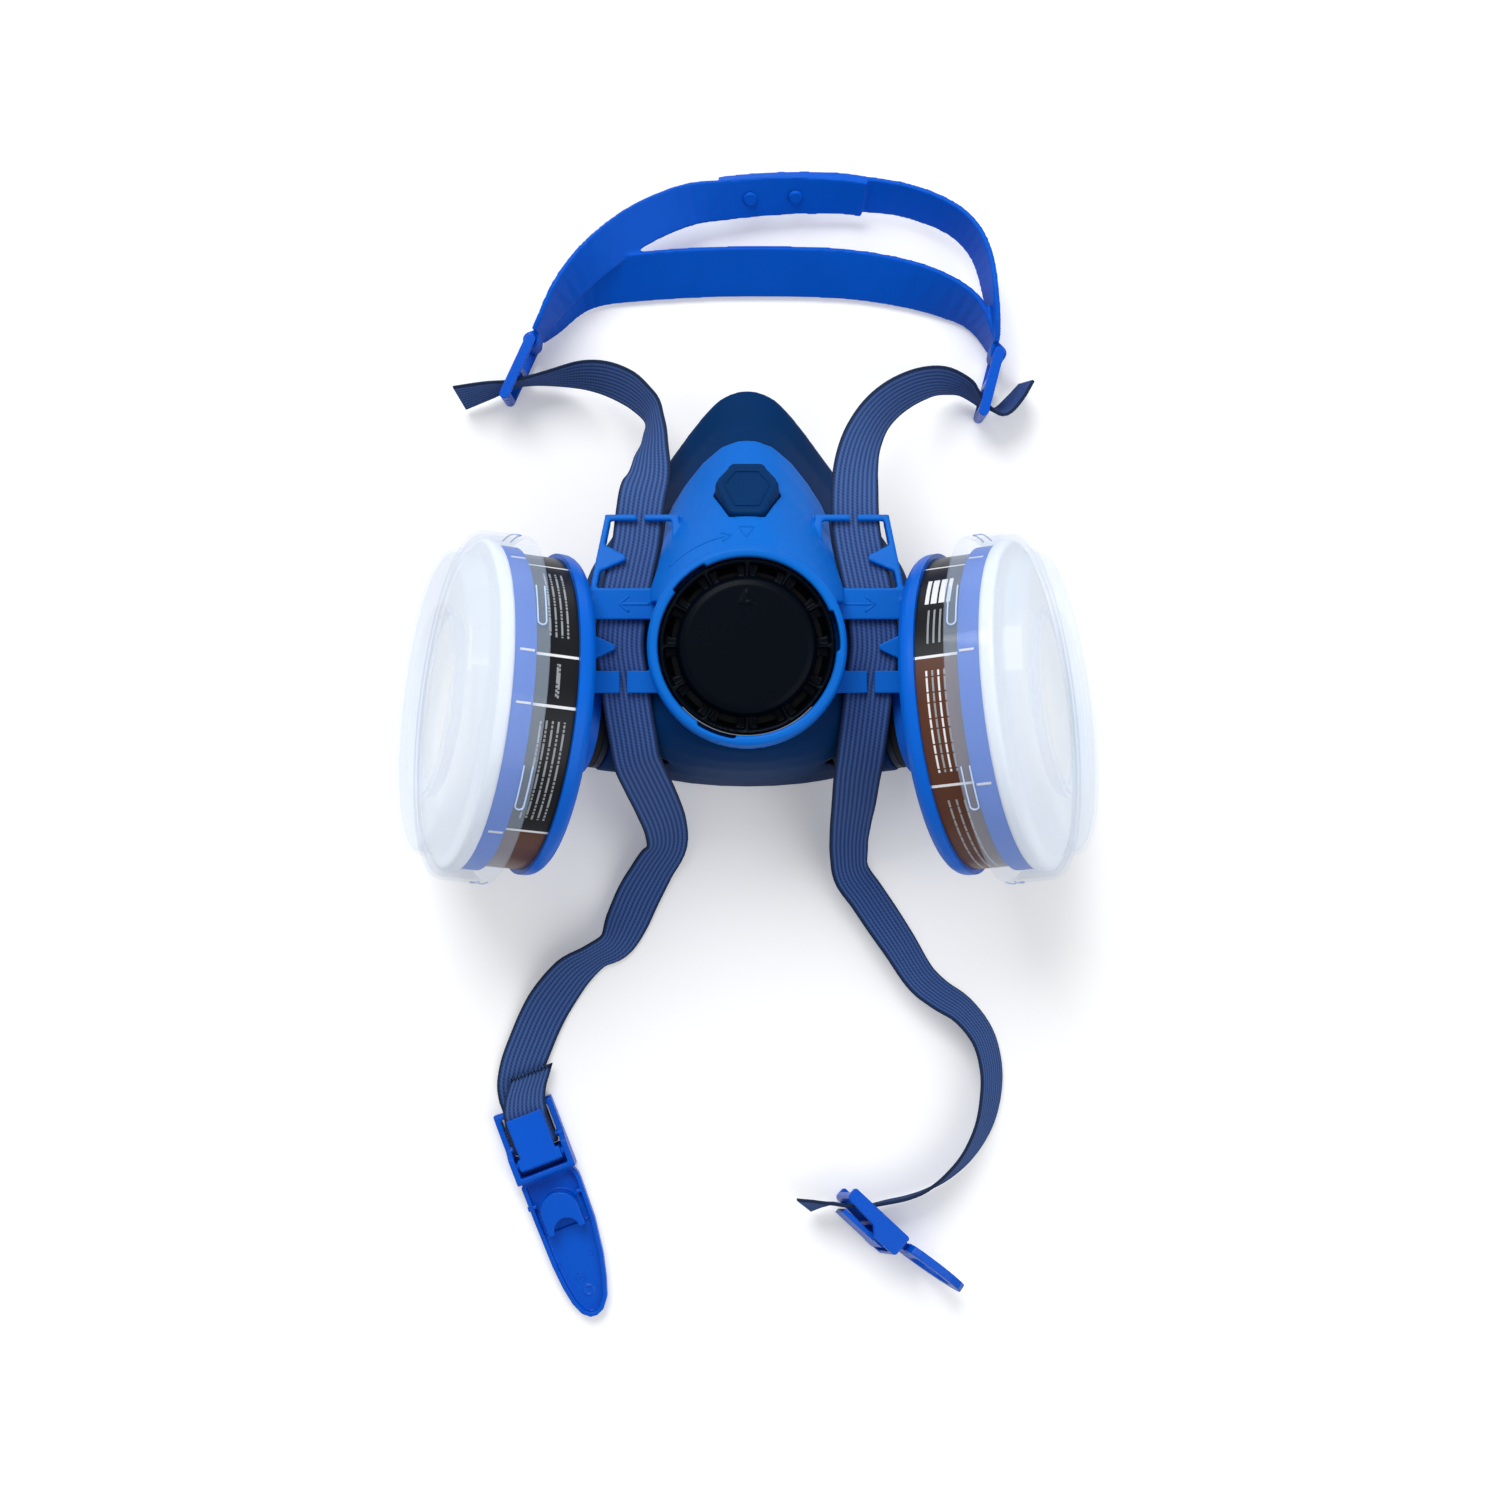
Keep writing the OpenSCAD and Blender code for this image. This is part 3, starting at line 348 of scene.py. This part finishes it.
def right_print(degrees, row):
    """What is printed on the right label: a black field with a striped square, then brown."""
    for rule in (24, 69, 115, 180):
        if abs(degrees - rule) < 0.4:
            return "white"
    if 34 < degrees < 47 and 4 <= row <= 16:
        return "black" if row % 4 == 2 else "white"
    if degrees < 69 or degrees > 180:
        if 50 < degrees < 64 and row in (6, 9, 12):
            return "grey"
        return "black"
    for start, stop, rows in ((74, 110, (5, 8, 11, 14)), (121, 172, (6, 10, 14))):
        if start < degrees < stop and row in rows and (degrees * 5 + row * 3) % 9 > 1:
            return "white" if row % 2 else "grey"
    return "brown"


def wrap_label(side, printing):
    """A thin film ring whose cells take their ink from the printing."""
    bpy.ops.mesh.primitive_grid_add(x_subdivisions=label_cells, y_subdivisions=label_rows, size=1)
    label = bpy.context.object
    label.name = "label_film_" + side
    cover_with(label, *label_ink.values())
    for face in label.data.polygons:
        degrees = (face.center.x + 0.5) * 360
        row = int((face.center.y + 0.5) * label_rows)
        face.material_index = ink_names.index(printing(degrees, row))
    for vertex in label.data.vertices:
        turn = turned((vertex.co.x + 0.5) * 360)
        high = label_low + (vertex.co.y + 0.5) * (label_high - label_low)
        vertex.co = (label_radius * math.cos(turn), label_radius * math.sin(turn), high)
    bpy.ops.object.mode_set(mode="EDIT")
    bpy.ops.mesh.select_all(action="SELECT")
    bpy.ops.mesh.remove_doubles(threshold=0.01 * MM)
    bpy.ops.object.mode_set(mode="OBJECT")
    modify(label, "SOLIDIFY", thickness=0.35 * MM, offset=-1)
    return label


def settle(piece, place):
    """Puts a piece's place in its mesh, facing outwards, with its object at the origin."""
    piece.data.transform(place @ piece.matrix_world)
    piece.matrix_world = Matrix.Identity(4)
    bpy.ops.object.select_all(action="DESELECT")
    piece.select_set(True)
    bpy.context.view_layer.objects.active = piece
    bpy.ops.object.mode_set(mode="EDIT")
    bpy.ops.mesh.select_all(action="SELECT")
    bpy.ops.mesh.normals_make_consistent(inside=False)
    bpy.ops.object.mode_set(mode="OBJECT")


printings = {"left": left_print, "right": right_print}
label_slots = {"left": "label_black", "right": "label_brown"}
tick_angles = {"left": (24, 69, 87, 136), "right": (24, 69, 115)}
for side, place in cartridge_place.items():
    cover_with(nodes["cartridge_shell_" + side], shell_blue)
    cover_with(nodes["carbon_bed_" + side], granules)
    label = wrap_label(side, printings[side])
    settle(label, place)
    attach(label, "cartridge_" + side)
    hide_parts("label_" + side)
    for i, degrees in enumerate(tick_angles[side]):
        bpy.ops.mesh.primitive_cube_add(size=1, location=(51.05 * MM, 0, 33 * MM))
        tick = bpy.context.object
        tick.scale = (0.4 * MM, 0.7 * MM, 4.4 * MM)
        bpy.context.view_layer.update()
        modify(tick, "BEVEL", width=0.1 * MM, segments=2)
        tick.name = f"band_tick_{side}_{i}"
        settle(tick, place @ Matrix.Rotation(turned(degrees), 4, "Z"))
        cover_with(tick, label_ink["white"])
        finish_piece(tick, "cartridge_" + side, label_slots[side])

# ---- Filter pads ------------------------------------------------------------
# A thick white disc of needled polypropylene felt lies under each clear cap. Its
# edge is soft and its face slightly uneven, with short tangled fibres.

felt = blank_material("needled_felt_white")
place_in = add(felt, "TexCoord").outputs["Object"]
fibres = add(felt, "TexNoise", {"Vector": place_in, "Scale": 1400, "Detail": 5, "Distortion": 2.5})
clumps = add(felt, "TexNoise", {"Vector": place_in, "Scale": 220, "Detail": 3})
loft = add(felt, "Math", {0: fibres.outputs["Fac"], 1: clumps.outputs["Fac"]}, operation="ADD")
fuzz = add(felt, "Bump", {"Height": loft.outputs[0], "Strength": 0.6, "Distance": 0.12 * MM})
whites = add(felt, "MixRGB", {
    "Fac": clumps.outputs["Fac"], "Color1": paint("#f3f8fd"), "Color2": paint("#fcfeff")})
felt_shader = add(felt, "BsdfPrincipled", {
    "Base Color": whites.outputs["Color"], "Roughness": 0.95, "Normal": fuzz.outputs["Normal"],
    "Sheen Weight": 0.3})
add(felt, "OutputMaterial", {"Surface": felt_shader.outputs[0]})

pad_radius = 52.2 * MM
pad_low = 36.7 * MM
pad_thick = 4.6 * MM
for side, place in cartridge_place.items():
    bpy.ops.mesh.primitive_cylinder_add(vertices=128, radius=pad_radius - 0.05 * MM, depth=pad_thick,
                                        location=(0, 0, pad_low + pad_thick / 2), end_fill_type="NGON")
    pad = bpy.context.object
    pad.name = "felt_pad_" + side
    bpy.ops.object.mode_set(mode="EDIT")
    bpy.ops.mesh.select_all(action="DESELECT")
    bpy.ops.mesh.select_mode(type="FACE")
    bpy.ops.object.mode_set(mode="OBJECT")
    for face in pad.data.polygons:
        face.select = abs(face.normal.z) > 0.9
    bpy.ops.object.mode_set(mode="EDIT")
    for _ in range(22):
        bpy.ops.mesh.inset(thickness=2.2 * MM, use_individual=True)
    bpy.ops.mesh.poke()
    bpy.ops.object.mode_set(mode="OBJECT")
    modify(pad, "BEVEL", width=1.4 * MM, segments=4, angle_limit=math.radians(50))
    for vertex in pad.data.vertices:
        from_axis = math.hypot(vertex.co.x, vertex.co.y)
        if from_axis < pad_radius - 2 * MM:
            wave = math.sin(vertex.co.x / (7.3 * MM)) * math.sin(vertex.co.y / (8.9 * MM) + 1)
            vertex.co.z += wave * 0.12 * MM - 0.12 * MM * (1 if vertex.co.z > 0 else -1)
    settle(pad, place)
    cover_with(pad, felt)
    finish_piece(pad, "retainer_cap_" + side, "filter_white", "filter_pad_" + side)

# ---- Clear retainers --------------------------------------------------------
# A stepped cap of clear polycarbonate with a recessed intake snaps over each pad.
# Six U-shaped cuts in its skirt free the tongues that catch under the blue band.

clear = blank_material("polycarbonate_clear")
flow = add(clear, "TexNoise", {
    "Vector": add(clear, "TexCoord").outputs["Object"], "Scale": 60, "Detail": 1})
ripple = add(clear, "Bump", {"Height": flow.outputs["Fac"], "Strength": 0.1, "Distance": 0.3 * MM})
clear_shader = add(clear, "BsdfPrincipled", {
    "Base Color": paint("#d6e8ff"), "Roughness": 0.06, "IOR": 1.58, "Alpha": 0.14,
    "Normal": ripple.outputs["Normal"]})
add(clear, "OutputMaterial", {"Surface": clear_shader.outputs[0]})
# Pale opaque plastic for the lines round the skirt's cuts: a painted highlight that stands for the light the
# clear cut edges catch.
painted_highlight_edge = moulding("polycarbonate_edge_painted_highlight", "#c4dcff", "#b4d0fa", 0.2, 0.6, 0.02, 0.5)

cap_radius = 55.1 * MM
cap_skirt_low = 27.1 * MM
tongue_angles = [54 + 60 * i for i in range(6)]


def bead(name, points, thick, closed=False):
    """A thin round line of plastic along points, as a mesh."""
    line = bpy.data.curves.new(name, "CURVE")
    line.dimensions = "3D"
    line.bevel_depth = thick / 2
    line.bevel_resolution = 2
    line.use_fill_caps = not closed
    spline = line.splines.new("POLY")
    spline.points.add(len(points) - 1)
    for place, point in zip(spline.points, points):
        place.co = (*point, 1)
    spline.use_cyclic_u = closed
    piece = bpy.data.objects.new(name, line)
    scene.collection.objects.link(piece)
    bpy.ops.object.select_all(action="DESELECT")
    piece.select_set(True)
    bpy.context.view_layer.objects.active = piece
    bpy.ops.object.convert(target="MESH")
    return piece


def tongue_cut(middle):
    """The U-shaped line round one tongue of the skirt, in the cartridge's frame."""
    reach, low, high = 7.5, cap_skirt_low + 1.2 * MM, cap_skirt_low + 3.8 * MM
    corners = [(middle - reach, low)] + [(middle - reach + a, low) for a in (5, 10)]
    corners.append((middle + reach - 1.2, low))
    round_end = [(middle + reach - 1.2 + 1.3 * math.cos(math.radians(a)),
                  (low + high) / 2 + (high - low) / 2 * math.sin(math.radians(a)))
                 for a in range(-70, 71, 20)]
    back = [(degrees, high) for degrees, _ in reversed(corners)]
    return [(cap_radius * math.cos(turned(d)), cap_radius * math.sin(turned(d)), z)
            for d, z in corners + round_end + back]


for side, place in cartridge_place.items():
    cover_with(nodes["retainer_" + side], clear)
    for i, middle in enumerate(tongue_angles):
        # Each real U-shaped cut is drawn as a pale bead, and its colour is a painted highlight of the cut's
        # edges.
        cut = bead(f"tongue_cut_{side}_{i}", tongue_cut(middle), 0.5 * MM)
        settle(cut, place)
        cover_with(cut, painted_highlight_edge)
        finish_piece(cut, "retainer_cap_" + side, "clear_plastic")

# ---- Harness webbing --------------------------------------------------------
# Two lengths of 15 mm elastic woven in navy polyester over rubber: ten lengthwise
# ribs, a dotted weave between them and a darker selvedge. Each runs from its neck
# clip through the frame's guides and the cradle's slider to a cut tail.


def between(a, b, c, d, t):
    """Catmull-Rom curve from b to c."""
    return tuple(0.5 * (2 * q + (r - p) * t + (2 * p - 5 * q + 4 * r - s) * t * t
                        + (3 * q - p - 3 * r + s) * t ** 3) for p, q, r, s in zip(a, b, c, d))


def smooth_route(points, steps):
    last = len(points) - 1
    route = [between(points[max(i - 1, 0)], points[i], points[i + 1], points[min(i + 2, last)], k / steps)
             for i in range(last) for k in range(steps)]
    return route + [points[-1]]


def strap_frames(route, flip=1):
    """Centre and crosswise direction at each place on a route of x, y, z and roll."""
    frames = []
    for i, point in enumerate(route):
        after = Vector(route[min(i + 1, len(route) - 1)][:3])
        before = Vector(route[max(i - 1, 0)][:3])
        along = (after - before).normalized()
        level = Vector((0, 0, 1)).cross(along).normalized()
        roll = math.radians(point[3])
        across = math.cos(roll) * level + math.sin(roll) * along.cross(level)
        frames.append((Vector(point[:3]) * MM, across * flip))
    return frames


def weave(name, frames, width, thick, ribs, rib_high):
    """A strap with lengthwise ribs, and UV in millimetres across and along it."""
    columns = ribs * 4
    top = [(-0.5 + k / columns) for k in range(columns + 1)]
    profile = [(u, 0.5, rib_high * (math.cos(2 * math.pi * ribs * u + math.pi * (ribs % 2 + 1)) - 1) / 2)
               for u in top]
    profile = [(u, s * (1 if abs(u) < 0.495 else 0.55), d) for u, s, d in profile]
    outline = profile + [(u, -s, -d) for u, s, d in reversed(profile)]
    count = len(outline)
    verts, faces, lays = [], [], []
    run = 0.0
    for i, (centre, across) in enumerate(frames):
        after = frames[min(i + 1, len(frames) - 1)][0]
        before = frames[max(i - 1, 0)][0]
        out = (after - before).normalized().cross(across)
        if i:
            run += (centre - frames[i - 1][0]).length
        for u, s, d in outline:
            verts.append(centre + across * u * width + out * (s * thick + d))
            lays.append((u * width / MM, run / MM))
    for i in range(len(frames) - 1):
        for k in range(count):
            m = (k + 1) % count
            faces.append((i * count + k, (i + 1) * count + k, (i + 1) * count + m, i * count + m))
    end = (len(frames) - 1) * count
    for k in range(columns):
        faces.append((k, k + 1, count - 2 - k, count - 1 - k))
        faces.append((end + k, end + count - 1 - k, end + count - 2 - k, end + k + 1))
    mesh = bpy.data.meshes.new(name)
    mesh.from_pydata(verts, [], faces)
    lay = mesh.uv_layers.new(name="lay")
    for corner in mesh.loops:
        lay.data[corner.index].uv = lays[corner.vertex_index]
    strap = bpy.data.objects.new(name, mesh)
    scene.collection.objects.link(strap)
    bpy.ops.object.select_all(action="DESELECT")
    strap.select_set(True)
    bpy.context.view_layer.objects.active = strap
    bpy.ops.object.mode_set(mode="EDIT")
    bpy.ops.mesh.select_all(action="SELECT")
    bpy.ops.mesh.normals_make_consistent(inside=False)
    bpy.ops.object.mode_set(mode="OBJECT")
    return strap


rib_space = 1.5                 # mm between ribs
pick_space = 1.1                # mm between the weft's dots, drawn a little coarse so that it shows
elastic = blank_material("woven_elastic_navy")
lay = add(elastic, "SeparateXYZ", {0: add(elastic, "UVMap", uv_map="lay").outputs[0]})
rib_turn = add(elastic, "Math", {0: lay.outputs["X"], 1: 2 * math.pi / rib_space}, operation="MULTIPLY")
rib_wave = add(elastic, "Math", {0: rib_turn.outputs[0]}, operation="COSINE")
row_shift = add(elastic, "Math", {0: lay.outputs["X"], 1: math.pi / rib_space}, operation="MULTIPLY")
pick_turn = add(elastic, "Math", {
    0: lay.outputs["Y"], 1: 2 * math.pi / pick_space, 2: row_shift.outputs[0]}, operation="MULTIPLY_ADD")
pick_wave = add(elastic, "Math", {0: pick_turn.outputs[0]}, operation="SINE")
knots = add(elastic, "Math", {0: rib_wave.outputs[0], 1: pick_wave.outputs[0]}, operation="MULTIPLY")
height = add(elastic, "Math", {0: knots.outputs[0], 1: 0.5, 2: rib_wave.outputs[0]}, operation="MULTIPLY_ADD")
# The yarn is one navy colour. The weave's raised knots are painted lighter and its hollows painted darker: a
# painted highlight and painted shade of the relief.
lit_knot_share = add(elastic, "MapRange", {"Value": height.outputs[0], "From Min": -1.4, "From Max": 1.4})
weave_lit_and_shaded = add(elastic, "MixRGB", {
    "Fac": lit_knot_share.outputs["Result"], "Color1": paint("#1d3360"), "Color2": paint("#4666a4")})
from_middle = add(elastic, "Math", {0: lay.outputs["X"]}, operation="ABSOLUTE")
selvedge = add(elastic, "MapRange", {"Value": from_middle.outputs[0], "From Min": 6.5, "From Max": 7.1})
edged = add(elastic, "MixRGB", {
    "Fac": selvedge.outputs["Result"], "Color1": weave_lit_and_shaded.outputs["Color"], "Color2": paint("#1b2b49")})
thread_relief = add(elastic, "Bump", {"Height": height.outputs[0], "Strength": 0.6, "Distance": 0.15 * MM})
elastic_shader = add(elastic, "BsdfPrincipled", {
    "Base Color": edged.outputs["Color"], "Roughness": 0.8, "Normal": thread_relief.outputs["Normal"],
    "Specular IOR Level": 0.15})
add(elastic, "OutputMaterial", {"Surface": elastic_shader.outputs[0]})

guide_z = 66.5
left_route = [
    (-75.6, -118.1, 1.3, 0), (-76.3, -116.2, 1.3, 0), (-76.7, -112, 1.4, 0), (-75.4, -105.5, 1.5, 0),
    (-72.6, -98, 1.5, 0), (-69.4, -90.5, 1.7, 4), (-65.4, -83.4, 2.6, 14), (-58.5, -74.5, 5, 32),
    (-51, -69, 6.5, 50), (-44.5, -65, 5.9, 40), (-40.2, -57, 3.6, 18), (-36.6, -49, 3.6, 14),
    (-31.6, -40, 6, 26), (-27, -32.4, 10.6, 30), (-26.8, -25.4, 20, 22), (-29, -17.6, 35, 12),
    (-32.4, -9, 50, 5), (-34.4, -3.4, 58.6, 2), (-35.6, 4.6, 63.4, 1), (-36.8, 12.6, 66, 0),
    (-37.9, 21, guide_z, 0), (-39.4, 32, guide_z - 0.2, 0), (-38.2, 45, guide_z - 0.3, 0),
    (-36.2, 56, 63.4, 0), (-34.6, 64.4, 61.1, 0), (-33.8, 72, 59, 0), (-32.8, 80, 56.2, 0),
    (-31.2, 87.4, 51.4, -22), (-30.8, 95, 45.4, -42), (-30.4, 103, 38.4, -60), (-31.6, 110.6, 31.6, -64),
    (-37, 117, 25, -52), (-45, 121.6, 19, -50), (-54, 123.8, 14, -60), (-64, 123.6, 11.2, -78),
    (-72, 122.9, 10.3, -88), (-78.1, 121.8, 10.2, -90), (-86, 120, 9.6, -78), (-96, 117.4, 8.6, -66)]
tail_route = [(-74.1, -122, 6.3, 0), (-74.6, -119.3, 6.1, 0), (-74.3, -115, 5.4, 0), (-73.2, -111, 4.3, 0),
              (-72.3, -107.6, 3.4, 0)]
right_route = [
    (18.9, -151.6, 9.4, 62), (23.5, -150.8, 10.8, 72), (27.8, -150.6, 11.8, 80), (32.5, -151.3, 11.6, 80),
    (36.9, -151.7, 10.9, 80), (41.4, -151.6, 10.2, 80), (47.1, -150.6, 9.2, 82), (53.7, -149.2, 8.8, 82),
    (60, -146.8, 8.4, 80), (67, -142.2, 8, 74), (73.6, -135.4, 7.8, 68), (78.8, -126, 7.5, 62),
    (81.2, -116, 7.3, 58), (81.4, -106, 7.2, 57), (78.6, -95.6, 7, 56), (72, -87, 6.9, 54),
    (64, -81.6, 6.6, 50), (57.6, -75.8, 6.2, 44), (51, -65.4, 5.6, 38), (45.4, -57, 5.4, 34),
    (40, -49, 5.6, 34), (35, -41.6, 7.6, 33), (33.8, -33.6, 13.6, 30), (33.8, -25.6, 25, 24),
    (34.2, -17.8, 39, 16), (34.6, -9.2, 52, 8), (35.2, -3.4, 58.8, 3), (36, 4, 63.4, 1), (37, 12.6, 66, 0),
    (37.9, 21, guide_z, 0), (39.4, 32, guide_z - 0.2, 0), (38.2, 45, guide_z - 0.3, 0), (36.2, 56, 63.4, 0),
    (34.6, 64.4, 61.1, 0), (33.8, 72, 59, 0), (33.8, 81, 55.8, 6), (34.6, 90, 50.4, 18), (37, 99, 43.6, 30),
    (41.6, 107.6, 36, 40), (48, 114.4, 28, 46), (56, 119.4, 20.6, 52), (64, 121.6, 15, 60),
    (71.6, 120.4, 11.4, 74), (75.8, 117.6, 10.3, 84), (79.6, 114.2, 10.2, 94), (84.4, 112.8, 9.4, 108),
    (89, 117, 8.6, 108), (93.2, 122.6, 8, 102)]

web_wide = 15 * MM
web_thick = 1.15 * MM
clip_turn = math.radians(-69.1)
hook_place = Matrix.Translation((-75.7 * MM, -119.4 * MM, 0.3 * MM)) @ Matrix.Rotation(clip_turn, 4, "Z")
bar_along, bar_high, loop_radius = 12.6, 3.9, 2.1
turn_path = [(3, 1), (8.6, 1.3)]
turn_path += [(bar_along + loop_radius * math.cos(math.radians(a)),
               bar_high + loop_radius * math.sin(math.radians(a)))
              for a in range(-90, 91, 20)]
turn_path += [(8.4, 6.1), (5, 6.1)]
clip_across = (hook_place.to_3x3() @ Vector((0, 1, 0))).normalized()
turn_frames = [(hook_place @ Vector((x * MM, 0, z * MM)), clip_across) for x, z in turn_path]
turned_back = [(x, y, z, -roll) for x, y, z, roll in reversed(left_route)]
left_frames = (strap_frames(smooth_route(turned_back, 5)) + turn_frames
               + [(centre, clip_across) for centre, _ in strap_frames(smooth_route(tail_route, 4))[1:]])
strap_left = weave("elastic_left", left_frames, web_wide, web_thick, 10, 0.16 * MM)
right_frames = strap_frames(smooth_route(right_route, 5))
strap_right = weave("elastic_right", right_frames, web_wide, web_thick, 10, 0.16 * MM)
for strap, node in ((strap_left, "webbing_left"), (strap_right, "webbing_right")):
    cover_with(strap, elastic)
    finish_piece(strap, "mask", "webbing", node)

# Black thread in a zigzag keeps the left strap's cut end from fraying.
tail_end = left_frames[-1][0]
tail_along = (left_frames[-1][0] - left_frames[-3][0]).normalized()
tail_up = clip_across.cross(tail_along)
tail_up *= math.copysign(1, tail_up.z)
stitches = [tail_end + clip_across * (-7.2 + i * 0.6) * MM - tail_along * (0.3 + 1.5 * (i % 2)) * MM
            + tail_up * (web_thick / 2 + 0.1 * MM) for i in range(25)]
zigzag = bead("tail_zigzag", stitches, 0.55 * MM)
thread = moulding("thread_black", "#0b0e15", "#10141c", 0.6, 0.25, 0.02, 0.1)
cover_with(zigzag, thread)
finish_piece(zigzag, "mask", "webbing")

# ---- Head cradle ------------------------------------------------------------
# Soft cobalt-blue bands moulded in thermoplastic rubber: a wide band for the back of
# the head and two crown straps that overlap and are held by two small studs.

cradle = as_moulded("head_cradle", "cradle_bands", 0.45, 4)
cobalt_rubber = moulding("tpe_cobalt", "#025ad0", "#024fbc", 0.44, 0.5, 0.02, 0.08)
cover_with(cradle, cobalt_rubber)
finish_piece(cradle, "mask", "cradle_blue", "head_cradle")
cover_with(nodes["crown_studs"], cobalt_rubber)

# ---- Sliders and neck clips -------------------------------------------------
# Glossy cobalt acetal mouldings: two sliders pinned to the cradle, and a hook and an
# eye for the neck, each with a hinged flap that grips the webbing.

cobalt_plastic = moulding("acetal_cobalt", "#0256cc", "#024fbe", 0.28, 0.9, 0.02, 0.15)
flap_plastic = moulding("acetal_cobalt_flap", "#025ad4", "#0253c6", 0.3, 0.9, 0.02, 0.15)
for node, name, voxel in (
        ("slider_left", "slider_frame_left", 0.3), ("slider_right", "slider_frame_right", 0.3),
        ("hook_clip", "neck_hook", 0.28), ("eye_clip", "neck_eye", 0.25)):
    piece = as_moulded(node, name, voxel, 2)
    cover_with(piece, cobalt_plastic)
    finish_piece(piece, "mask", "clip_blue", node)
for side in ("left", "right"):
    flap = as_moulded("adjuster_flap_" + side, "grip_flap_" + side, 0.22, 2)
    cover_with(flap, flap_plastic)
    finish_piece(flap, "flap_" + side, "clip_blue", "adjuster_flap_" + side)

# The hook's tongue shows the rings that ejector pins leave, a low step beside the
# horn's feet, and a short pin on each side wall.
hook = bpy.data.objects["neck_hook"]


def on_hook(along, across, high=0.0):
    """A place on the hook, given along and across its own axis in millimetres."""
    return hook_place @ Vector((along * MM, across * MM, high * MM))


details = []
ejector_rings = ((61.1, -2.2, 1.6), (61.1, -2.2, 0.5), (54.5, 3.9, 0.9), (55, -7.6, 0.9))
for i, (along, across, radius) in enumerate(ejector_rings):
    circle = [on_hook(along + radius * math.cos(math.radians(a)),
                      across + radius * math.sin(math.radians(a))).to_2d() for a in range(0, 360, 20)]
    details.append(ridge(f"ejector_ring_{i}", hook, circle, 0.4 * MM, 0.12 * MM,
                         closed=True, step=0.4 * MM))
for i, (start, stop) in enumerate(((-9.4, -5.8), (5.6, 8.2))):
    edge = [on_hook(43.7, start).to_2d(), on_hook(43.7, stop).to_2d()]
    details.append(ridge(f"tongue_step_{i}", hook, edge, 0.6 * MM, 0.25 * MM))
for i, (wall, tip) in enumerate(((-10.4, -7.4), (9.8, 7.1))):
    details.append(bead(f"tongue_pin_{i}", [on_hook(33.4, wall, 3.2), on_hook(33.4, tip, 3.2)], 1.7 * MM))
for detail in details:
    cover_with(detail, cobalt_plastic)
    finish_piece(detail, "mask", "clip_blue")
